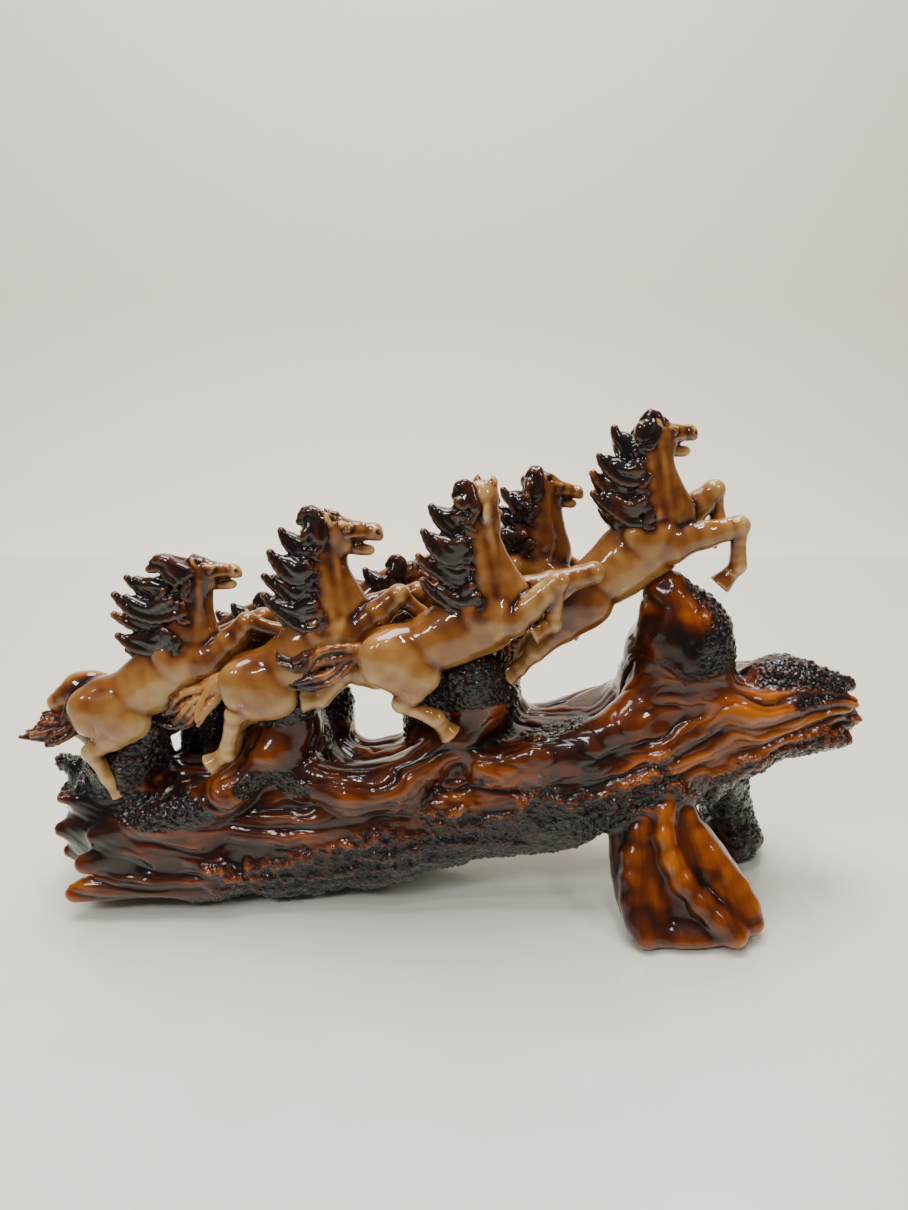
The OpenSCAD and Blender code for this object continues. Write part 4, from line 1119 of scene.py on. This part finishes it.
def hair_stain(number, part, v, q, nrm, dock):
    pits, wide = depth(v, q, nrm, 4, 0.30), depth(v, q, nrm, 24, 1.4)
    patch = swing(v / 15.0 + number, 3, 180 + number)
    stain = (0.77 if part == "mane" else 0.70) + 0.34 * pits + 0.26 * wide + 0.7 * patch
    if part == "tail":
        out = np.linalg.norm(v - dock, axis=1)
        stain += -PALE_TAILS.get(number, 0.10) * step(42 - out, 0, 18) + 0.16 * step(out - 32, 0, 14)
    elif number == 1:
        stain -= 0.05
    # painted shade on the hair of the back row
    stain += 0.10 if number >= FIRST_REAR else 0.0
    return spread_over(np.clip(stain, 0.02, 1), q, 1, len(v))


def foreleg_faces(v, q, info):
    """Which faces stand for the CAD part's forelegs."""
    m = v[q].mean(1)
    fore = np.zeros(len(q), bool)
    for name in ("near_fore", "far_fore"):
        leg = info["legs"][name]
        fore |= np.min([cone(a, b, 9.5, 9.5)[0](*m.T) for a, b in zip(leg[1:], leg[2:])], axis=0) < 0
    return fore & ((m - info["spine"](CHEST, 0)) @ heading(info["lean"] - 12) > 8)


def make_horse(number, h):
    pose = POSES[number]
    clay, info = horse_clay(number, h)
    v, q = clay.mesh()
    v = smooth(v, q, 2)
    v = v + normals_of(v, q) * swing(v / 14.0, 2, 20 + number)[:, None]
    nrm = normals_of(v, q)
    mane, mane_points = mane_clay(number, info, h * HAIR_CELL)
    tail, tail_points = tail_clay(number, info, h * HAIR_CELL)
    stain = horse_stain(number, v, q, nrm, info, np.concatenate([mane_points, tail_points]))
    fore = foreleg_faces(v, q, info)
    v, nrm = to_part(pose, v, nrm)
    # the back row takes the coat in painted shade
    slot = "lacquered_dark_coat" if number >= FIRST_REAR else "lacquered_coat"
    name = "horse_%d_" % number
    add_piece(name + "body", slot, v, q[~fore], nrm, dict(stain=stain))
    add_piece(name + "forelegs", slot, v, q[fore], nrm, dict(stain=stain))
    for part, clay in (("mane", mane), ("tail", tail)):
        v, q = clay.mesh()
        v = smooth(v, q, 1, 0.4)
        nrm = normals_of(v, q)
        stain = hair_stain(number, part, v, q, nrm, info["spine"](*DOCK))
        v, nrm = to_part(pose, v, nrm)
        add_piece(name + part, "lacquered_hair", v, q, nrm, dict(stain=stain))


cell = {kind: full for kind, (full, quick) in CELLS.items()}
for number in POSES:
    make_horse(number, cell["rear" if number >= FIRST_REAR else "front"])

v, q, nrm, data, owner = base_mesh(cell["base"])
for i, name in enumerate(BASE_NODES):
    if (owner == i).any():
        add_piece(name, BASE_SLOTS.get(name, "lacquered_rock"), v - DATUM, q[owner == i], nrm, data)


def noise_material(name, scale, low, high, **sockets):
    """A material whose colour drifts between two with a noise of the given scale."""
    m = bpy.data.materials.new(name)
    m.use_nodes = True
    tree = m.node_tree
    shader = tree.nodes["Principled BSDF"]
    cloud = tree.nodes.new("ShaderNodeTexNoise")
    cloud.inputs["Scale"].default_value = scale
    ramp = tree.nodes.new("ShaderNodeValToRGB")
    ramp.color_ramp.elements[0].color = srgb(*low)
    ramp.color_ramp.elements[1].color = srgb(*high)
    tree.links.new(cloud.outputs["Fac"], ramp.inputs["Fac"])
    tree.links.new(ramp.outputs["Color"], shader.inputs["Base Color"])
    for key, value in sockets.items():
        shader.inputs[key.replace("_", " ")].default_value = value
    return m


pins = frame["nodes"]["dowel_pins"]
pins.data.materials.clear()
pins.data.materials.append(noise_material("steel", 900.0, (140, 140, 142), (196, 196, 198),
                                          Metallic=1.0, Roughness=0.35))

# ---------------------------------------------------------------- stage, lights and camera, in metres

WALL_AT, BEND, WALL_TOP, FLOOR_FROM, HALF_WIDTH = 1.10, 0.35, 2.4, -2.5, 3.0


def stage_material(name, colour, rough, coat):
    return noise_material(name, 3.0, [c - 4 for c in colour], [c + 4 for c in colour],
                          Roughness=rough, Coat_Weight=coat, Coat_Roughness=0.12)


def sweep(profile, material, name):
    """A sheet pulled along X from a profile of (y, z) points."""
    verts = [(x, y, z) for y, z in profile for x in (-HALF_WIDTH, HALF_WIDTH)]
    faces = [(2 * i, 2 * i + 1, 2 * i + 3, 2 * i + 2) for i in range(len(profile) - 1)]
    mesh = bpy.data.meshes.new(name)
    mesh.from_pydata(verts, [], faces)
    mesh.shade_smooth()
    mesh.materials.append(material)
    sheet = bpy.data.objects.new(name, mesh)
    bpy.context.scene.collection.objects.link(sheet)


floor_end = WALL_AT - BEND
bend = [(floor_end + BEND * math.sin(a), BEND - BEND * math.cos(a)) for a in np.linspace(0, math.pi / 2, 16)]
sweep([(FLOOR_FROM, 0), (floor_end, 0)], stage_material("pale_floor", (228, 229, 216), 0.30, 0.7), "floor")
sweep(bend + [(WALL_AT, WALL_TOP)], stage_material("pale_wall", (240, 232, 220), 0.9, 0.0), "backdrop")


def area_light(name, place, aim, size, watts, colour, height=None):
    data = bpy.data.lights.new(name, "AREA")
    data.energy = watts
    data.color = colour
    data.size = size
    if height:
        data.shape = "RECTANGLE"
        data.size_y = height
    light = bpy.data.objects.new(name, data)
    light.location = place
    light.rotation_euler = (Vector(aim) - Vector(place)).to_track_quat("-Z", "Y").to_euler()
    bpy.context.scene.collection.objects.link(light)


area_light("ceiling", (-0.15, 0.25, 2.0), (-0.15, 0.24, 0.1), 1.1, 60, (1.0, 0.98, 0.95))
area_light("window", (-1.0, -1.0, 1.3), (0, 0, 0.15), 0.24, 7.5, (0.95, 0.98, 1.0), 0.32)
area_light("strip_left", (-0.40, -0.85, 1.1), (0, 0, 0.12), 0.05, 3.5, (1, 1, 1), 0.30)
area_light("strip_right", (0.80, -0.65, 0.95), (0, 0, 0.12), 0.05, 3.0, (1.0, 0.98, 0.95), 0.28)
area_light("lamp_above", (0.15, -0.50, 1.5), (0, 0, 0.12), 0.12, 3.5, (1.0, 0.99, 0.96))
area_light("lamp_behind", (0.5, 0.6, 1.4), (0, 0, 0.15), 0.12, 3.5, (1.0, 0.97, 0.93))

world = bpy.data.worlds.new("room")
world.use_nodes = True
world.node_tree.nodes["Background"].inputs["Color"].default_value = (0.80, 0.78, 0.74, 1)
world.node_tree.nodes["Background"].inputs["Strength"].default_value = 0.16
bpy.context.scene.world = world

lens = bpy.data.cameras.new("camera")
lens.sensor_fit = "VERTICAL"
lens.sensor_height = 36
lens.lens = 27.04
lens.clip_start = 0.01
camera = bpy.data.objects.new("camera", lens)
camera.location = (0.0121, -0.5159, 0.398)
camera.rotation_euler = (math.radians(90 - 20.5), 0, 0)      # looking down 20.5 degrees
bpy.context.scene.collection.objects.link(camera)
bpy.context.scene.camera = camera
